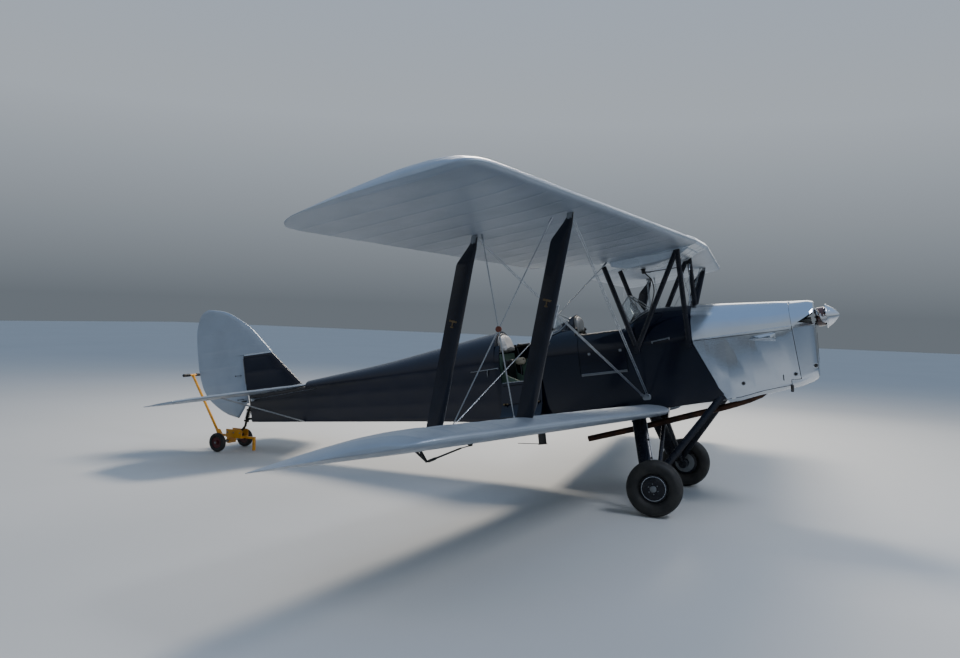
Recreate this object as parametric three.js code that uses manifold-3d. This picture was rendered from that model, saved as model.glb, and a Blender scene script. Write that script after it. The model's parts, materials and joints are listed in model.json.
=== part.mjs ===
// A two-seat biplane trainer parked on its wheels, with its tail skid on a hand dolly.
// Millimetres. The aircraft is drawn level in its own frame: x forward from the firewall,
// y to port, z up from the top longeron. One group then pitches it to its parked attitude.
import * as THREE from 'three';
import { mergeVertices } from 'three/addons/utils/BufferGeometryUtils.js';
import { ConvexGeometry } from 'three/addons/geometries/ConvexGeometry.js';
import Module from 'manifold-3d';

const wasm = await Module();
wasm.setup();

// Driving dimensions
const degrees = Math.PI / 180;
const seat = 0.35; // gap between pieces that rest on each other
const clearance = 5; // gap round a piece that moves
const pitch = 9.306 * degrees; // nose up, as parked
const longeronHeight = 1550; // top longeron above the floor at the firewall
const halfSpan = 4459;
const chord = 1341;
const incidence = 4 * degrees;
const sweep = Math.tan(5.74 * degrees);
const centreHalfWidth = 333;
const bodyHalfWidth = 305;
const tailX = -5318; // rear face of the sternpost
const splitX = -1990; // bulkhead behind the rear cockpit
const wheelRadius = 249;
const wheelX = -410;
const wheelY = 789;
const wheelZ = -1253.5;
const thrustZ = 77;
const propX = 1122;
const propHubAft = 45; // from the blades' plane back to the hub's rear face
const strutY = 2859;
const frontSpar = 194;
const rearSpar = 902;

// Wings: the leading edge at the root rib, where that rib is, and the upward slope
const upperWing = { rootX: 163, rootZ: 900, rootY: centreHalfWidth, slope: Math.tan(1.45 * degrees) };
const lowerWing = { rootX: -288, rootZ: -626, rootY: bodyHalfWidth, slope: Math.tan(3.48 * degrees) };

const finish = {
  navy: { color: 0x0a1024, roughness: 0.15, metalness: 0.0 },
  dope: { color: 0xb9bec4, roughness: 0.4, metalness: 0.3 },
  polished: { color: 0xd5d8dc, roughness: 0.12, metalness: 1.0 },
  steel: { color: 0x8d9196, roughness: 0.35, metalness: 1.0 },
  black: { color: 0x0c0c0e, roughness: 0.6, metalness: 0.0 },
  timber: { color: 0x2b1710, roughness: 0.25, metalness: 0.0 },
  glass: { color: 0xdfe8ea, roughness: 0.05, metalness: 0.0 },
  leather: { color: 0xcfcbc2, roughness: 0.6, metalness: 0.0 },
  green: { color: 0x5f7f6b, roughness: 0.5, metalness: 0.0 },
  yellow: { color: 0xe0a010, roughness: 0.4, metalness: 0.0 },
};

// Solids from three.js geometry, with joins and cuts
function solid(geometry) {
  const flat = geometry.index ? geometry.toNonIndexed() : geometry.clone();
  flat.deleteAttribute('normal');
  flat.deleteAttribute('uv');
  const merged = mergeVertices(flat, 1e-3);
  const index = Array.from(merged.index.array);
  const at = merged.attributes.position;
  const corner = [new THREE.Vector3(), new THREE.Vector3(), new THREE.Vector3()];
  const kept = [];
  let volume = 0;
  for (let i = 0; i < index.length; i += 3) {
    const [a, b, c] = index.slice(i, i + 3);
    if (a === b || b === c || c === a) {
      continue;
    }
    kept.push(a, b, c);
    corner[0].fromBufferAttribute(at, a);
    corner[1].fromBufferAttribute(at, b);
    corner[2].fromBufferAttribute(at, c);
    volume += corner[0].dot(corner[1].cross(corner[2]));
  }
  if (volume < 0) {
    kept.reverse();
  }
  return new wasm.Manifold(new wasm.Mesh({
    numProp: 3,
    vertProperties: new Float32Array(at.array),
    triVerts: new Uint32Array(kept),
  }));
}

function join(first, ...others) {
  return others.reduce((whole, other) => whole.add(other), first);
}

function cut(first, ...others) {
  return others.reduce((whole, other) => whole.subtract(other), first);
}

// A body lofted through convex rings that all have the same number of points
function loft(rings) {
  const count = rings[0].length;
  const last = (rings.length - 1) * count;
  const index = [];
  for (let r = 0; r < last; r += count) {
    for (let i = 0; i < count; i += 1) {
      const j = (i + 1) % count;
      index.push(r + i, r + j, r + count + j, r + i, r + count + j, r + count + i);
    }
  }
  for (let i = 1; i < count - 1; i += 1) {
    index.push(0, i + 1, i, last, last + i, last + i + 1);
  }
  const geometry = new THREE.BufferGeometry();
  const points = rings.flat().flatMap((point) => point.toArray());
  geometry.setAttribute('position', new THREE.Float32BufferAttribute(points, 3));
  geometry.setIndex(index);
  return solid(geometry);
}

function point(x, y, z) {
  return new THREE.Vector3(x, y, z);
}

function block(x0, x1, y0, y1, z0, z1) {
  const box = new THREE.BoxGeometry(Math.abs(x1 - x0), Math.abs(y1 - y0), Math.abs(z1 - z0));
  return solid(box.translate((x0 + x1) / 2, (y0 + y1) / 2, (z0 + z1) / 2));
}

// A plate drawn in the x-z plane and extruded across from y0 to y1
function sidePlate(outline, y0, y1) {
  const shape = new THREE.Shape(outline.map(([x, z]) => new THREE.Vector2(x, z)));
  const plate = new THREE.ExtrudeGeometry(shape, { depth: y1 - y0, bevelEnabled: false });
  return solid(plate.rotateX(Math.PI / 2).translate(0, y1, 0));
}

// A plate drawn in the x-y plane and extruded up from z0 to z1
function planPlate(outline, z0, z1) {
  const shape = new THREE.Shape(outline.map(([x, y]) => new THREE.Vector2(x, y)));
  const plate = new THREE.ExtrudeGeometry(shape, { depth: z1 - z0, bevelEnabled: false });
  return solid(plate.translate(0, 0, z0));
}

// A strut with an oval section, its wide way along x, tapered by stations of [fraction, scale]
function strut(from, to, wide, thick, stations = [[0, 1], [1, 1]], sides = 10) {
  const along = to.clone().sub(from).normalize();
  const start = Math.abs(along.x) > 0.95 ? point(0, 0, 1) : point(1, 0, 0);
  const across = start.addScaledVector(along, -start.dot(along)).normalize();
  const third = across.clone().cross(along);
  return loft(stations.map(([fraction, scale]) => {
    const centre = from.clone().lerp(to, fraction);
    return Array.from({ length: sides }, (_, i) => {
      const angle = (2 * Math.PI * i) / sides;
      return centre.clone()
        .addScaledVector(across, Math.cos(angle) * scale * wide / 2)
        .addScaledVector(third, Math.sin(angle) * scale * thick / 2);
    });
  }));
}

function rod(from, to, radius, sides = 10) {
  return strut(from, to, radius * 2, radius * 2, [[0, 1], [1, 1]], sides);
}

// A leaf with thin edges, from a convex outline that thickens towards its core
function leaf(outline, core, scale, halfThick, halfEdge = 4) {
  const points = outline.flatMap(([x, z]) => {
    const inner = [core[0] + (x - core[0]) * scale, core[1] + (z - core[1]) * scale];
    return [
      point(x, -halfEdge, z),
      point(x, halfEdge, z),
      point(inner[0], -halfThick, inner[1]),
      point(inner[0], halfThick, inner[1]),
    ];
  });
  return solid(new ConvexGeometry(points));
}

function ring(profile, segments) {
  const points = [...profile, profile[0]].map(([r, y]) => new THREE.Vector2(r, y));
  return solid(new THREE.LatheGeometry(points, segments));
}

function convex(points) {
  return solid(new ConvexGeometry(points.map(([x, y, z]) => point(x, y, z))));
}

function mirrored(body) {
  return body.mirror([0, 1, 0]);
}

// Scene graph: the pitched aircraft, and the dolly that stands level on the floor
const model = new THREE.Group();
const aircraft = new THREE.Group();
aircraft.rotation.y = -pitch;
aircraft.position.z = longeronHeight;
const dolly = new THREE.Group();
model.add(aircraft, dolly);

function place(name, body, look, group = aircraft) {
  const data = body.getMesh();
  const geometry = new THREE.BufferGeometry();
  geometry.setAttribute('position', new THREE.BufferAttribute(data.vertProperties, 3));
  geometry.setIndex(new THREE.BufferAttribute(data.triVerts, 1));
  geometry.computeVertexNormals();
  const mesh = new THREE.Mesh(geometry, new THREE.MeshStandardMaterial(finish[look]));
  mesh.name = name;
  group.add(mesh);
}

// Fuselage and cowling: one run of sections. The cowling narrows in a straight line at the longeron
const cowlHalf = (x) => bodyHalfWidth - 0.0662 * x;
// columns: x, half width at the longeron, half width at the bottom, bottom, crown, corner radius, rake
const bodySections = [
  [1062, 186, 142, -450, 205, 70, 0.05],
  [1048, 207, 166, -470, 226, 85, 0.05],
  [1006, 224, 186, -492, 240, 90, 0.04],
  [880, cowlHalf(880), 205, -523, 252, 85, 0],
  [700, cowlHalf(700), 222, -547, 272, 80, 0],
  [500, cowlHalf(500), 245, -566, 292, 70, 0],
  [288, cowlHalf(288), 272, -578, 313, 50, 0],
  [110, cowlHalf(110), 292, -581, 331, 30, 0],
  [0, bodyHalfWidth, bodyHalfWidth, -582, 341, 20, 0],
  [-410, bodyHalfWidth, bodyHalfWidth, -603, 360, 20, 0],
  [-660, bodyHalfWidth, bodyHalfWidth, -607, 291, 20, 0],
  [-1150, bodyHalfWidth, bodyHalfWidth, -612, 290, 20, 0],
  [splitX, bodyHalfWidth, bodyHalfWidth, -598, 286, 20, 0],
];
const archSteps = 12;
const cornerSteps = 3;

function bodyRing([x, half, low, bottom, crown, radius, rake = 0], inset) {
  const points = [];
  for (let i = 0; i <= archSteps; i += 1) {
    const angle = (Math.PI * i) / archSteps;
    const height = (crown - inset) * Math.sin(angle);
    points.push(point(x + rake * height, (half - inset) * Math.cos(angle), height));
  }
  const corner = [];
  for (let i = 0; i <= cornerSteps; i += 1) {
    const angle = (Math.PI / 2) * (i / cornerSteps);
    const y = low - inset - radius * (1 - Math.cos(angle));
    corner.push([y, bottom + inset + radius * (1 - Math.sin(angle))]);
  }
  corner.forEach(([y, z]) => points.push(point(x + rake * z, -y, z)));
  corner.reverse().forEach(([y, z]) => points.push(point(x + rake * z, y, z)));
  return points;
}

function bodyLoft(inset, sections = bodySections) {
  return loft(sections.map((section) => bodyRing(section, inset)));
}

const hull = bodyLoft(0);
const hullSeat = bodyLoft(-seat);

// The joint between cowling and fuselage leans forward below the longeron
const far = 3000;
const cowlJoint = [[0, far], [0, -30], [177, -453], [300, -640], [300, -far]];

function behindJoint(shift) {
  const edge = cowlJoint.map(([x, z]) => [x + shift, z]);
  return sidePlate([...edge, [-far * 2, -far], [-far * 2, far]], -far, far);
}

// Front fuselage: a hollow shell with two cockpits, four door openings and instrument boards
const wall = 16;
const bulkheadX = [-1215, -1245];
const cockpits = [
  { name: 'front', from: -550, to: -1140, board: -505, boardFront: -200, doorFrom: -630, doorTo: -1095 },
  { name: 'rear', from: -1450, to: splitX - 10, board: -1400, boardFront: -1400, doorFrom: -1500, doorTo: -1930 },
];
const rimHalfWidth = 232;
const sillZ = -200;
const boardThick = 18;
const inner = bodyLoft(wall);
const footwell = inner.intersect(block(-200, bulkheadX[0], -far, far, -far, far));
const rearWell = inner.intersect(block(bulkheadX[1], splitX - 10, -far, far, -far, far));

function rimCutter({ from, to }) {
  const r = 110;
  const w = rimHalfWidth;
  const outline = new THREE.Shape();
  outline.moveTo(from - r, -w);
  outline.absarc(from - r, -w + r, r, -Math.PI / 2, 0, false);
  outline.absarc(from - r, w - r, r, 0, Math.PI / 2, false);
  outline.lineTo(to, w);
  outline.lineTo(to, -w);
  const plate = new THREE.ExtrudeGeometry(outline, { depth: far, bevelEnabled: false, curveSegments: 4 });
  return solid(plate.translate(0, 0, 40));
}

function doorRegion({ doorFrom, doorTo }, grow) {
  return block(doorTo - grow, doorFrom + grow, rimHalfWidth - 60, far, sillZ - grow, far);
}

// Each cockpit ends at an instrument board. The bay ahead of the front one is closed all round
const panelProud = 4;
const dialPanel = (x) => block(x - boardThick - panelProud, x, -150, 150, 0, 180);
const board = ({ board: x, boardFront }) => (
  inner.intersect(block(x - boardThick, boardFront, -far, far, -60, far)).add(dialPanel(x))
);
const sheet = 8; // thickness of the metal panels round the engine
const firewallThick = 6;
const engineBay = bodyLoft(sheet).intersect(block(-firewallThick - 2 * seat, far, -far, far, -far, far));
let frontShell = cut(hull.intersect(behindJoint(-seat)), footwell, rearWell, engineBay);
frontShell = join(frontShell, ...cockpits.map(board));
frontShell = cut(frontShell, ...cockpits.map(rimCutter));

// Head fairing between the cockpits, and the keel bracket that carries the axle tubes
const fairing = convex([
  [-1160, -150, 150], [-1160, 150, 150], [-1160, -150, 300], [-1160, 150, 300],
  [-1160, -95, 385], [-1160, 95, 385], [-1160, 0, 402],
  [-1430, -120, 150], [-1430, 120, 150], [-1430, -60, 270], [-1430, 60, 270],
]);
const keelX = -400;
const keelZ = -700;
const keelBracket = convex([
  [keelX - 60, -40, -590], [keelX + 60, -40, -590], [keelX - 60, 40, -590], [keelX + 60, 40, -590],
  [keelX - 28, -30, keelZ - 28], [keelX + 28, -30, keelZ - 28],
  [keelX - 28, 30, keelZ - 28], [keelX + 28, 30, keelZ - 28],
]);
const shellBeforeDoors = join(frontShell, fairing.subtract(footwell).subtract(rearWell), keelBracket);

// Doors drop outward on a hinge along their lower edge
const doorAxisY = bodyHalfWidth + 1;
const doorAxisZ = sillZ - 4;
const doorPinRadius = 3.5;
const openDoorAngle = 165 * degrees;

function doorLeaf(cockpit) {
  const skin = hull.subtract(inner);
  const panel = skin.intersect(doorRegion(cockpit, 0)).subtract(rimCutter(cockpit));
  const pin = rod(point(cockpit.doorTo, doorAxisY, doorAxisZ), point(cockpit.doorFrom, doorAxisY, doorAxisZ),
    doorPinRadius, 8);
  const web = block(cockpit.doorTo, cockpit.doorFrom, doorAxisY - 3, doorAxisY, doorAxisZ, sillZ + 2);
  return join(panel, web, pin);
}

function pinSeat(cockpit) {
  const grown = clearance;
  return rod(point(cockpit.doorTo - grown, doorAxisY, doorAxisZ),
    point(cockpit.doorFrom + grown, doorAxisY, doorAxisZ), doorPinRadius + 0.5, 16);
}

let frontFuselage = shellBeforeDoors;
for (const cockpit of cockpits) {
  const opening = join(doorRegion(cockpit, clearance), pinSeat(cockpit));
  frontFuselage = cut(frontFuselage, opening, mirrored(opening));
}
frontFuselage = frontFuselage.intersect(block(splitX, far, -far, far, -far, far));

// Door geometry is drawn on the port side; the starboard leaves are its mirror image
const frontDoor = doorLeaf(cockpits[0]);
const rearDoor = doorLeaf(cockpits[1]).intersect(block(splitX, far, -far, far, -far, far));
place('front_door_left', frontDoor, 'navy');
place('front_door_right', mirrored(frontDoor), 'navy');
place('rear_door_left', rearDoor, 'navy');

// The starboard rear door hangs open, so it is turned about its hinge
function swungOpen(body) {
  const turned = body.translate([0, doorAxisY, -doorAxisZ]);
  return turned.rotate([openDoorAngle / degrees, 0, 0]).translate([0, -doorAxisY, doorAxisZ]);
}

place('rear_door_right', swungOpen(mirrored(rearDoor)), 'navy');

// Rear fuselage with its rounded top decking, strakes and the post under the fin
const elevatorX = -5190;
const tailLeadX = -4450;
const tailRootZ = 25;
const tailThick = 23; // half the thickness at the root
const tailSlope = Math.tan(1.8 * degrees); // the tailplane sits nose up
const tailZ = (x) => tailRootZ + (x - tailLeadX) * tailSlope;
const taperEnd = 25;
const halfWidthAt = (x) => bodyHalfWidth + (taperEnd - bodyHalfWidth) * ((splitX - x) / (splitX - tailX));
const tailSeatX = tailLeadX; // the decking ends where the tailplane starts
// columns: x, bottom, crown
const rearSections = [
  [splitX - seat, -598, 335],
  [-2790, -526, 232],
  [-3440, -478, 153],
  [tailSeatX, -404, 68],
];
const rearRing = ([x, bottom, crown]) => (
  bodyRing([x, halfWidthAt(x), halfWidthAt(x), bottom, crown, 14], 0)
);
const rearDeck = loft(rearSections.map(rearRing));
const sternBox = convex([-1, 1].flatMap((side) => [
  [tailSeatX + 2, side * halfWidthAt(tailSeatX), -404], [tailSeatX + 2, side * halfWidthAt(tailSeatX), 0],
  [tailX, side * taperEnd, -341], [tailX, side * taperEnd, tailZ(tailX) - tailThick],
]));
const strakes = planPlate([[-3430, halfWidthAt(-3430) - 6], [tailSeatX + 1, 200], [tailSeatX + 1, -200],
  [-3430, 6 - halfWidthAt(-3430)]], -3, 3);
const finPost = block(tailX, elevatorX - 55, -16, 16, -40, tailZ(tailX) + tailThick);
const rudderX = -5366;
const rudderPin = 15;
const rudderLug = (z) => block(rudderX + 4, -5300, -9, 9, z, z + 24);
const rudderSeat = rod(point(rudderX, 0, -200), point(rudderX, 0, 600), rudderPin + 0.5, 24);
const sternLug = rudderLug(-90).subtract(rudderSeat);
const rearFuselage = join(rearDeck, sternBox, strakes, finPost, sternLug);

place('front_fuselage', frontFuselage, 'navy');
place('rear_fuselage', rearFuselage, 'navy');

// Cowling: sheet panels round the engine, with side panels hinged at their upper seam
const noseJointX = 868;
const noseRake = -0.05; // the joint leans aft towards the top
const cowlOuter = hull.subtract(behindJoint(0));
const cowlSheet = cowlOuter.subtract(bodyLoft(sheet));
const hingeRear = point(4, bodyHalfWidth - 0.5, 0);
const hingeFront = point(noseJointX - clearance, 247.5, 26);
const seamGap = 2.5;
const hingePin = 3.5;
const lowerSeam = [[0, -564], [noseJointX, -500]];
const chin = { x: 807, z: -456 }; // below this height the nose reaches further aft

function seamAt(x) {
  return hingeRear.z + (hingeFront.z - hingeRear.z) * ((x - hingeRear.x) / (hingeFront.x - hingeRear.x));
}

function aboveSeam(shift) {
  return sidePlate([[-50, seamAt(-50) + shift], [1100, seamAt(1100) + shift], [1100, far], [-50, far]],
    -far, far);
}

function belowSeam(shift) {
  const [[x0, z0], [x1, z1]] = lowerSeam;
  const slope = (z1 - z0) / (x1 - x0);
  const at = (x) => [x, z0 + slope * (x - x0) + shift];
  return sidePlate([at(-50), at(1100), [1100, -far], [-50, -far]], -far, far);
}

function noseZone(shift) {
  const at = (z) => [noseJointX + noseRake * z + shift, z];
  const chinTop = chin.z - shift;
  return sidePlate([at(chinTop), [chin.x + shift, chinTop], [chin.x + shift, -700], [far, -700], [far, 700],
    at(700)], -far, far);
}

const everywhere = block(-far, far, -far, far, -far, far);
const beforeNose = everywhere.subtract(noseZone(0));
const pinRod = rod(hingeRear, hingeFront, hingePin, 8);
const pinGroove = rod(hingeRear.clone().add(point(-9, 0.6, 0)), hingeFront.clone().add(point(9, -0.6, 0)),
  hingePin + 0.5, 16);
const sideZone = cut(everywhere.subtract(noseZone(-clearance)), aboveSeam(-seamGap),
  belowSeam(clearance), behindJoint(clearance), block(-far, far, -far, 0, -far, far));
const sidePanelPlain = join(cowlSheet.intersect(sideZone), pinRod);
const cowlTop = cut(cowlSheet.intersect(beforeNose).intersect(aboveSeam(seamGap)), pinGroove,
  mirrored(pinGroove)).intersect(block(seat, far, -far, far, -far, far));
const cowlBottom = cut(cowlSheet.intersect(beforeNose).intersect(belowSeam(0)), behindJoint(seat));
const noseFace = 1040; // rear of the nose's front plate
const intake = block(1000, 1150, 45, 150, -360, -60);
const crankHole = rod(point(950, 0, thrustZ), point(1150, 0, thrustZ), 48, 16);
const noseShell = cowlSheet.intersect(noseZone(seat));
const noseInside = bodyLoft(sheet + 4, bodySections.slice(1)).intersect(noseZone(seat + 10)).intersect(
  block(-far, noseFace, -far, far, -far, far),
);
const nosePlate = cowlOuter.intersect(block(noseFace - 9, far, -far, far, -far, far));
// On each side the nose is open between the dome over the crankshaft and the chin below it
const noseNotch = sidePlate([[915, 50], [1000, 34], [1200, 6], [1200, 230], [1068, 140], [1000, 96]], -far, far);
const cowlNose = cut(join(noseShell, nosePlate), noseInside, intake, crankHole, noseNotch);

// Air scoop, facing forward, on the starboard side panel
const scoopFront = 725;
const scoop = convex([
  [490, -270, -48], [530, -274, -28], [530, -274, -68], [scoopFront, -250, -10], [scoopFront, -250, -96],
  [scoopFront, -296, -20], [scoopFront, -296, -88], [scoopFront - 40, -300, -54], [570, -286, -50],
]);
const scoopMouth = convex([
  [scoopFront + 10, -262, -20], [scoopFront + 10, -262, -86], [scoopFront + 10, -290, -28],
  [scoopFront + 10, -290, -80], [scoopFront - 75, -266, -53],
]);

place('cowl_top', cowlTop, 'polished');
place('cowl_bottom', cowlBottom, 'polished');
place('cowl_nose', cowlNose, 'polished');
place('cowl_side_left', sidePanelPlain, 'polished');
place('cowl_side_right', cut(join(mirrored(sidePanelPlain), cut(scoop, bodyLoft(4))), scoopMouth), 'polished');

// Firewall and engine: one plain block with its crankshaft nose and bearers
const firewall = bodyLoft(sheet + seat).intersect(block(-firewallThick - seat, 0, -far, far, -far, far));
place('firewall', firewall, 'steel');
const engine = join(
  block(110, 820, -105, 105, -400, 120),
  block(seat, 120, -95, -65, -60, 0),
  block(seat, 120, 65, 95, -60, 0),
  rod(point(800, 0, thrustZ), point(propX - propHubAft - seat, 0, thrustZ), 36, 16),
);
place('engine_block', engine, 'steel');

// Propeller and spinner
// columns: radius, chord, thickness, blade angle in degrees
const bladeSections = [
  [40, 80, 70, 62],
  [150, 105, 46, 50],
  [300, 135, 30, 36],
  [520, 145, 21, 25],
  [740, 125, 15, 19],
  [890, 85, 10, 15],
  [965, 28, 6, 14],
];
const bladeRing = 10;

function blade(side, grow = 0) {
  return loft(bladeSections.map(([radius, wide, thick, angle]) => {
    const turn = angle * degrees * side;
    return Array.from({ length: bladeRing }, (_, i) => {
      const around = (2 * Math.PI * i) / bladeRing;
      const u = Math.cos(around) * (wide / 2 + grow);
      const v = Math.sin(around) * (thick / 2 + grow);
      const x = propX + u * Math.sin(turn) + v * Math.cos(turn);
      return point(x, side * radius, thrustZ + u * Math.cos(turn) - v * Math.sin(turn));
    });
  }));
}

const propHub = rod(point(propX - propHubAft, 0, thrustZ), point(propX + 32, 0, thrustZ), 88, 20);
place('propeller', join(propHub, blade(1), blade(-1)), 'timber');
const spinnerBase = propX + 32 + seat;
const spinnerTip = 1268;
const spinnerRadius = 110;
// columns: radius and height, each as a share of the whole
const spinnerProfile = [[0, 0], [1, 0], [0.93, 0.12], [0.76, 0.36], [0.42, 0.7], [0.16, 0.92], [0, 1]];
const spinnerShape = new THREE.LatheGeometry(spinnerProfile.map(([r, h]) => (
  new THREE.Vector2(r * spinnerRadius, h * (spinnerTip - spinnerBase))
)), 20);
const spinner = solid(spinnerShape.rotateZ(-Math.PI / 2).translate(spinnerBase, 0, thrustZ));
place('spinner', cut(spinner, blade(1, 1), blade(-1, 1)), 'polished');

// Wing panels
// columns: chord fraction, upper surface, lower surface
const aerofoil = [
  [1, 0.002, -0.002],
  [0.8, 0.032, -0.008],
  [0.55, 0.063, -0.015],
  [0.35, 0.078, -0.021],
  [0.2, 0.075, -0.024],
  [0.08, 0.053, -0.022],
  [0.02, 0.028, -0.014],
];
// columns: distance in from the tip, leading edge set back, trailing edge set in, thickness scale
const tipSections = [
  [400, 0, 0, 1],
  [250, 2, 20, 0.98],
  [150, 10, 80, 0.92],
  [75, 30, 200, 0.82],
  [28, 66, 400, 0.7],
  [0, 130, 700, 0.42],
];

function wingRing(wing, y, back, short, scale, grow) {
  const out = y - wing.rootY;
  const front = point(wing.rootX - out * sweep, y, wing.rootZ + out * wing.slope);
  const full = chord - back - short;
  const at = (fraction, height) => point(
    front.x - (back + fraction * full) * Math.cos(incidence) - height * Math.sin(incidence),
    y,
    front.z - (back + fraction * full) * Math.sin(incidence) + height * Math.cos(incidence),
  );
  const thick = Math.min(full, chord) * scale;
  const upper = aerofoil.map(([f, top]) => at(f, top * thick + grow));
  const lower = aerofoil.map(([f, , low]) => at(f, low * thick - grow)).reverse();
  return [...upper, at(-grow / full, 0.005 * thick), ...lower];
}

function wingPanel(wing, rootSections, grow = 0) {
  const sections = [
    ...rootSections.map(([y, back, short]) => [y, back, short, 1]),
    ...tipSections.map(([inward, back, short, scale]) => [halfSpan - inward, back, short, scale]),
  ];
  return loft(sections.map(([y, back, short, scale]) => wingRing(wing, y, back, short, scale, grow)));
}

function onWing(wing, y, aft, height) {
  const out = y - wing.rootY;
  return point(
    wing.rootX - out * sweep - aft * Math.cos(incidence) - height * Math.sin(incidence),
    y,
    wing.rootZ + out * wing.slope - aft * Math.sin(incidence) + height * Math.cos(incidence),
  );
}

// The upper wing's trailing edge is cut away towards the centre section
const rootCutaway = 400;
const upperRoots = [[centreHalfWidth + seat, 0, rootCutaway], [930, 0, 0]];
const lowerRoots = [[bodyHalfWidth + seat, 0, 0]];
const upperPort = wingPanel(upperWing, upperRoots);
const upperSeatPort = wingPanel(upperWing, upperRoots, seat);
const lowerPort = wingPanel(lowerWing, lowerRoots);
const lowerSeatPort = wingPanel(lowerWing, lowerRoots, seat);

// Ailerons, on the lower wings only, turn about a round nose
const aileronFrom = 2040;
const aileronTo = 4040;
const aileronChord = 345;
const aileronNose = 17;
const hingeHeight = 20;
const aileronAxis = [aileronFrom, aileronTo].map((y) => (
  onWing(lowerWing, y, chord - aileronChord, hingeHeight)
));

function aileronZone(ahead, side) {
  const [from, to] = aileronAxis;
  const a = point(from.x + ahead - (side - 0) * -sweep, from.y - side, 0);
  const b = point(to.x + ahead - side * sweep, to.y + side, 0);
  return planPlate([[a.x, a.y], [b.x, b.y], [b.x - 900, b.y], [a.x - 900, a.y]], -far, far);
}

const noseRod = (radius, sides) => rod(aileronAxis[0], aileronAxis[1], radius, sides);
const aileronPort = join(lowerPort.intersect(aileronZone(-16, 0)), noseRod(aileronNose, 12));
const lugAt = (y) => {
  const axis = onWing(lowerWing, y, chord - aileronChord, hingeHeight);
  return block(axis.x + 2, axis.x + 60, y - 9, y + 9, axis.z - 9, axis.z + 9);
};
const longNose = rod(
  aileronAxis[0].clone().lerp(aileronAxis[1], -0.02), aileronAxis[0].clone().lerp(aileronAxis[1], 1.02),
  aileronNose + 0.6, 20,
);
const aileronLugs = join(...[2240, 3040, 3840].map(lugAt)).subtract(longNose);
const lowerPlain = lowerPort.subtract(aileronZone(aileronNose + 6, clearance + 1));
const lowerWingPort = join(lowerPlain, aileronLugs);

place('upper_wing_left', upperPort, 'dope');
place('upper_wing_right', mirrored(upperPort), 'dope');
place('lower_wing_left', lowerWingPort, 'dope');
place('lower_wing_right', mirrored(lowerWingPort), 'dope');
place('aileron_left', aileronPort, 'dope');
place('aileron_right', mirrored(aileronPort), 'dope');

// Fuel tank in the centre of the upper wing, a little fuller than the wing itself
// columns: y, thickness scale
const tankSections = [[-centreHalfWidth, 1], [-300, 1.16], [300, 1.16], [centreHalfWidth, 1]];

function tankRing([y, scale], grow) {
  const level = { ...upperWing, slope: 0, rootY: y };
  return wingRing(level, y, 0, rootCutaway - 1, scale * 1.32, grow);
}

const onTank = (y, aft, height) => onWing({ ...upperWing, slope: 0, rootY: y }, y, aft, height).toArray();
// columns: half width, aft of the leading edge, height. The belly hangs below the wing
const bellyRows = [[296, 90, 0], [296, 850, 0], [286, 100, -40], [276, 210, -88], [240, 440, -114],
  [262, 700, -98], [280, 840, -50]];
const belly = convex([-1, 1].flatMap((side) => bellyRows.map(([y, aft, height]) => onTank(side * y, aft, height))));
const tank = join(loft(tankSections.map((section) => tankRing(section, 0))), belly);
const tankSeat = join(loft(tankSections.map((section) => tankRing(section, seat))), belly);
place('fuel_tank', tank, 'dope');

// Interplane struts
const strutEnds = [[0, 0.5], [0.05, 0.62], [0.2, 1], [0.8, 1], [0.95, 0.62], [1, 0.5]];
const strutChord = 128;
const strutThick = 46;
const strutLean = 29; // the feet stand this much further aft on their rib
for (const [name, aft] of [['front', frontSpar], ['rear', rearSpar]]) {
  const foot = onWing(lowerWing, strutY, aft + strutLean, 30);
  const head = onWing(upperWing, strutY, aft, 5);
  const post = cut(strut(foot, head, strutChord, strutThick, strutEnds), upperSeatPort, lowerSeatPort);
  place(`interplane_strut_${name}_left`, post, 'navy');
  place(`interplane_strut_${name}_right`, mirrored(post), 'navy');
}

// Cabane: an N of struts each side, on plates fixed to the longeron
const cabaneY = bodyHalfWidth + seat + 13;
const cabaneFeet = [-30, -516];
const cabaneHeads = [point(-30, cabaneY, 860), point(-737, cabaneY, 800)];
const cabanePlate = (x) => block(x - 26, x + 22, bodyHalfWidth + seat, cabaneY + 12, -60, 18);
const cabaneStrut = (x, head) => strut(point(x, cabaneY, -20), head, 48, 25);
const cabane = cut(join(
  cabaneStrut(cabaneFeet[0], cabaneHeads[0]),
  cabaneStrut(cabaneFeet[1], cabaneHeads[1]),
  cabaneStrut(cabaneFeet[1], cabaneHeads[0]),
  cabanePlate(cabaneFeet[0]),
  cabanePlate(cabaneFeet[1]),
), tankSeat, upperSeatPort, hullSeat);
place('cabane_left', cabane, 'navy');
place('cabane_right', mirrored(cabane), 'navy');

// Bracing wires: the main stays of each bay
const wireRadius = 4;
const wireSides = 6;
const wireIn = strutY - 48;
const rootFitting = (x) => point(x, bodyHalfWidth + 22, -478);
const wire = (from, to) => rod(from, to, wireRadius, wireSides);
const fittingBlock = block(-512, -448, bodyHalfWidth + seat, bodyHalfWidth + 34, -500, -456);
const flyingFront = wire(rootFitting(-466), onWing(upperWing, wireIn, frontSpar, 0));
const flyingRear = wire(rootFitting(-498), onWing(upperWing, wireIn, rearSpar, 0));
const landing = wire(point(-700, cabaneY + 30, 830), onWing(lowerWing, wireIn, rearSpar, 30));
const besideStrut = 84;
const incidenceWires = join(
  wire(onWing(upperWing, strutY, frontSpar + besideStrut, 0), onWing(lowerWing, strutY, rearSpar - besideStrut, 30)),
  wire(onWing(upperWing, strutY, rearSpar - besideStrut, 0), onWing(lowerWing, strutY, frontSpar + besideStrut, 30)),
);
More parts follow.
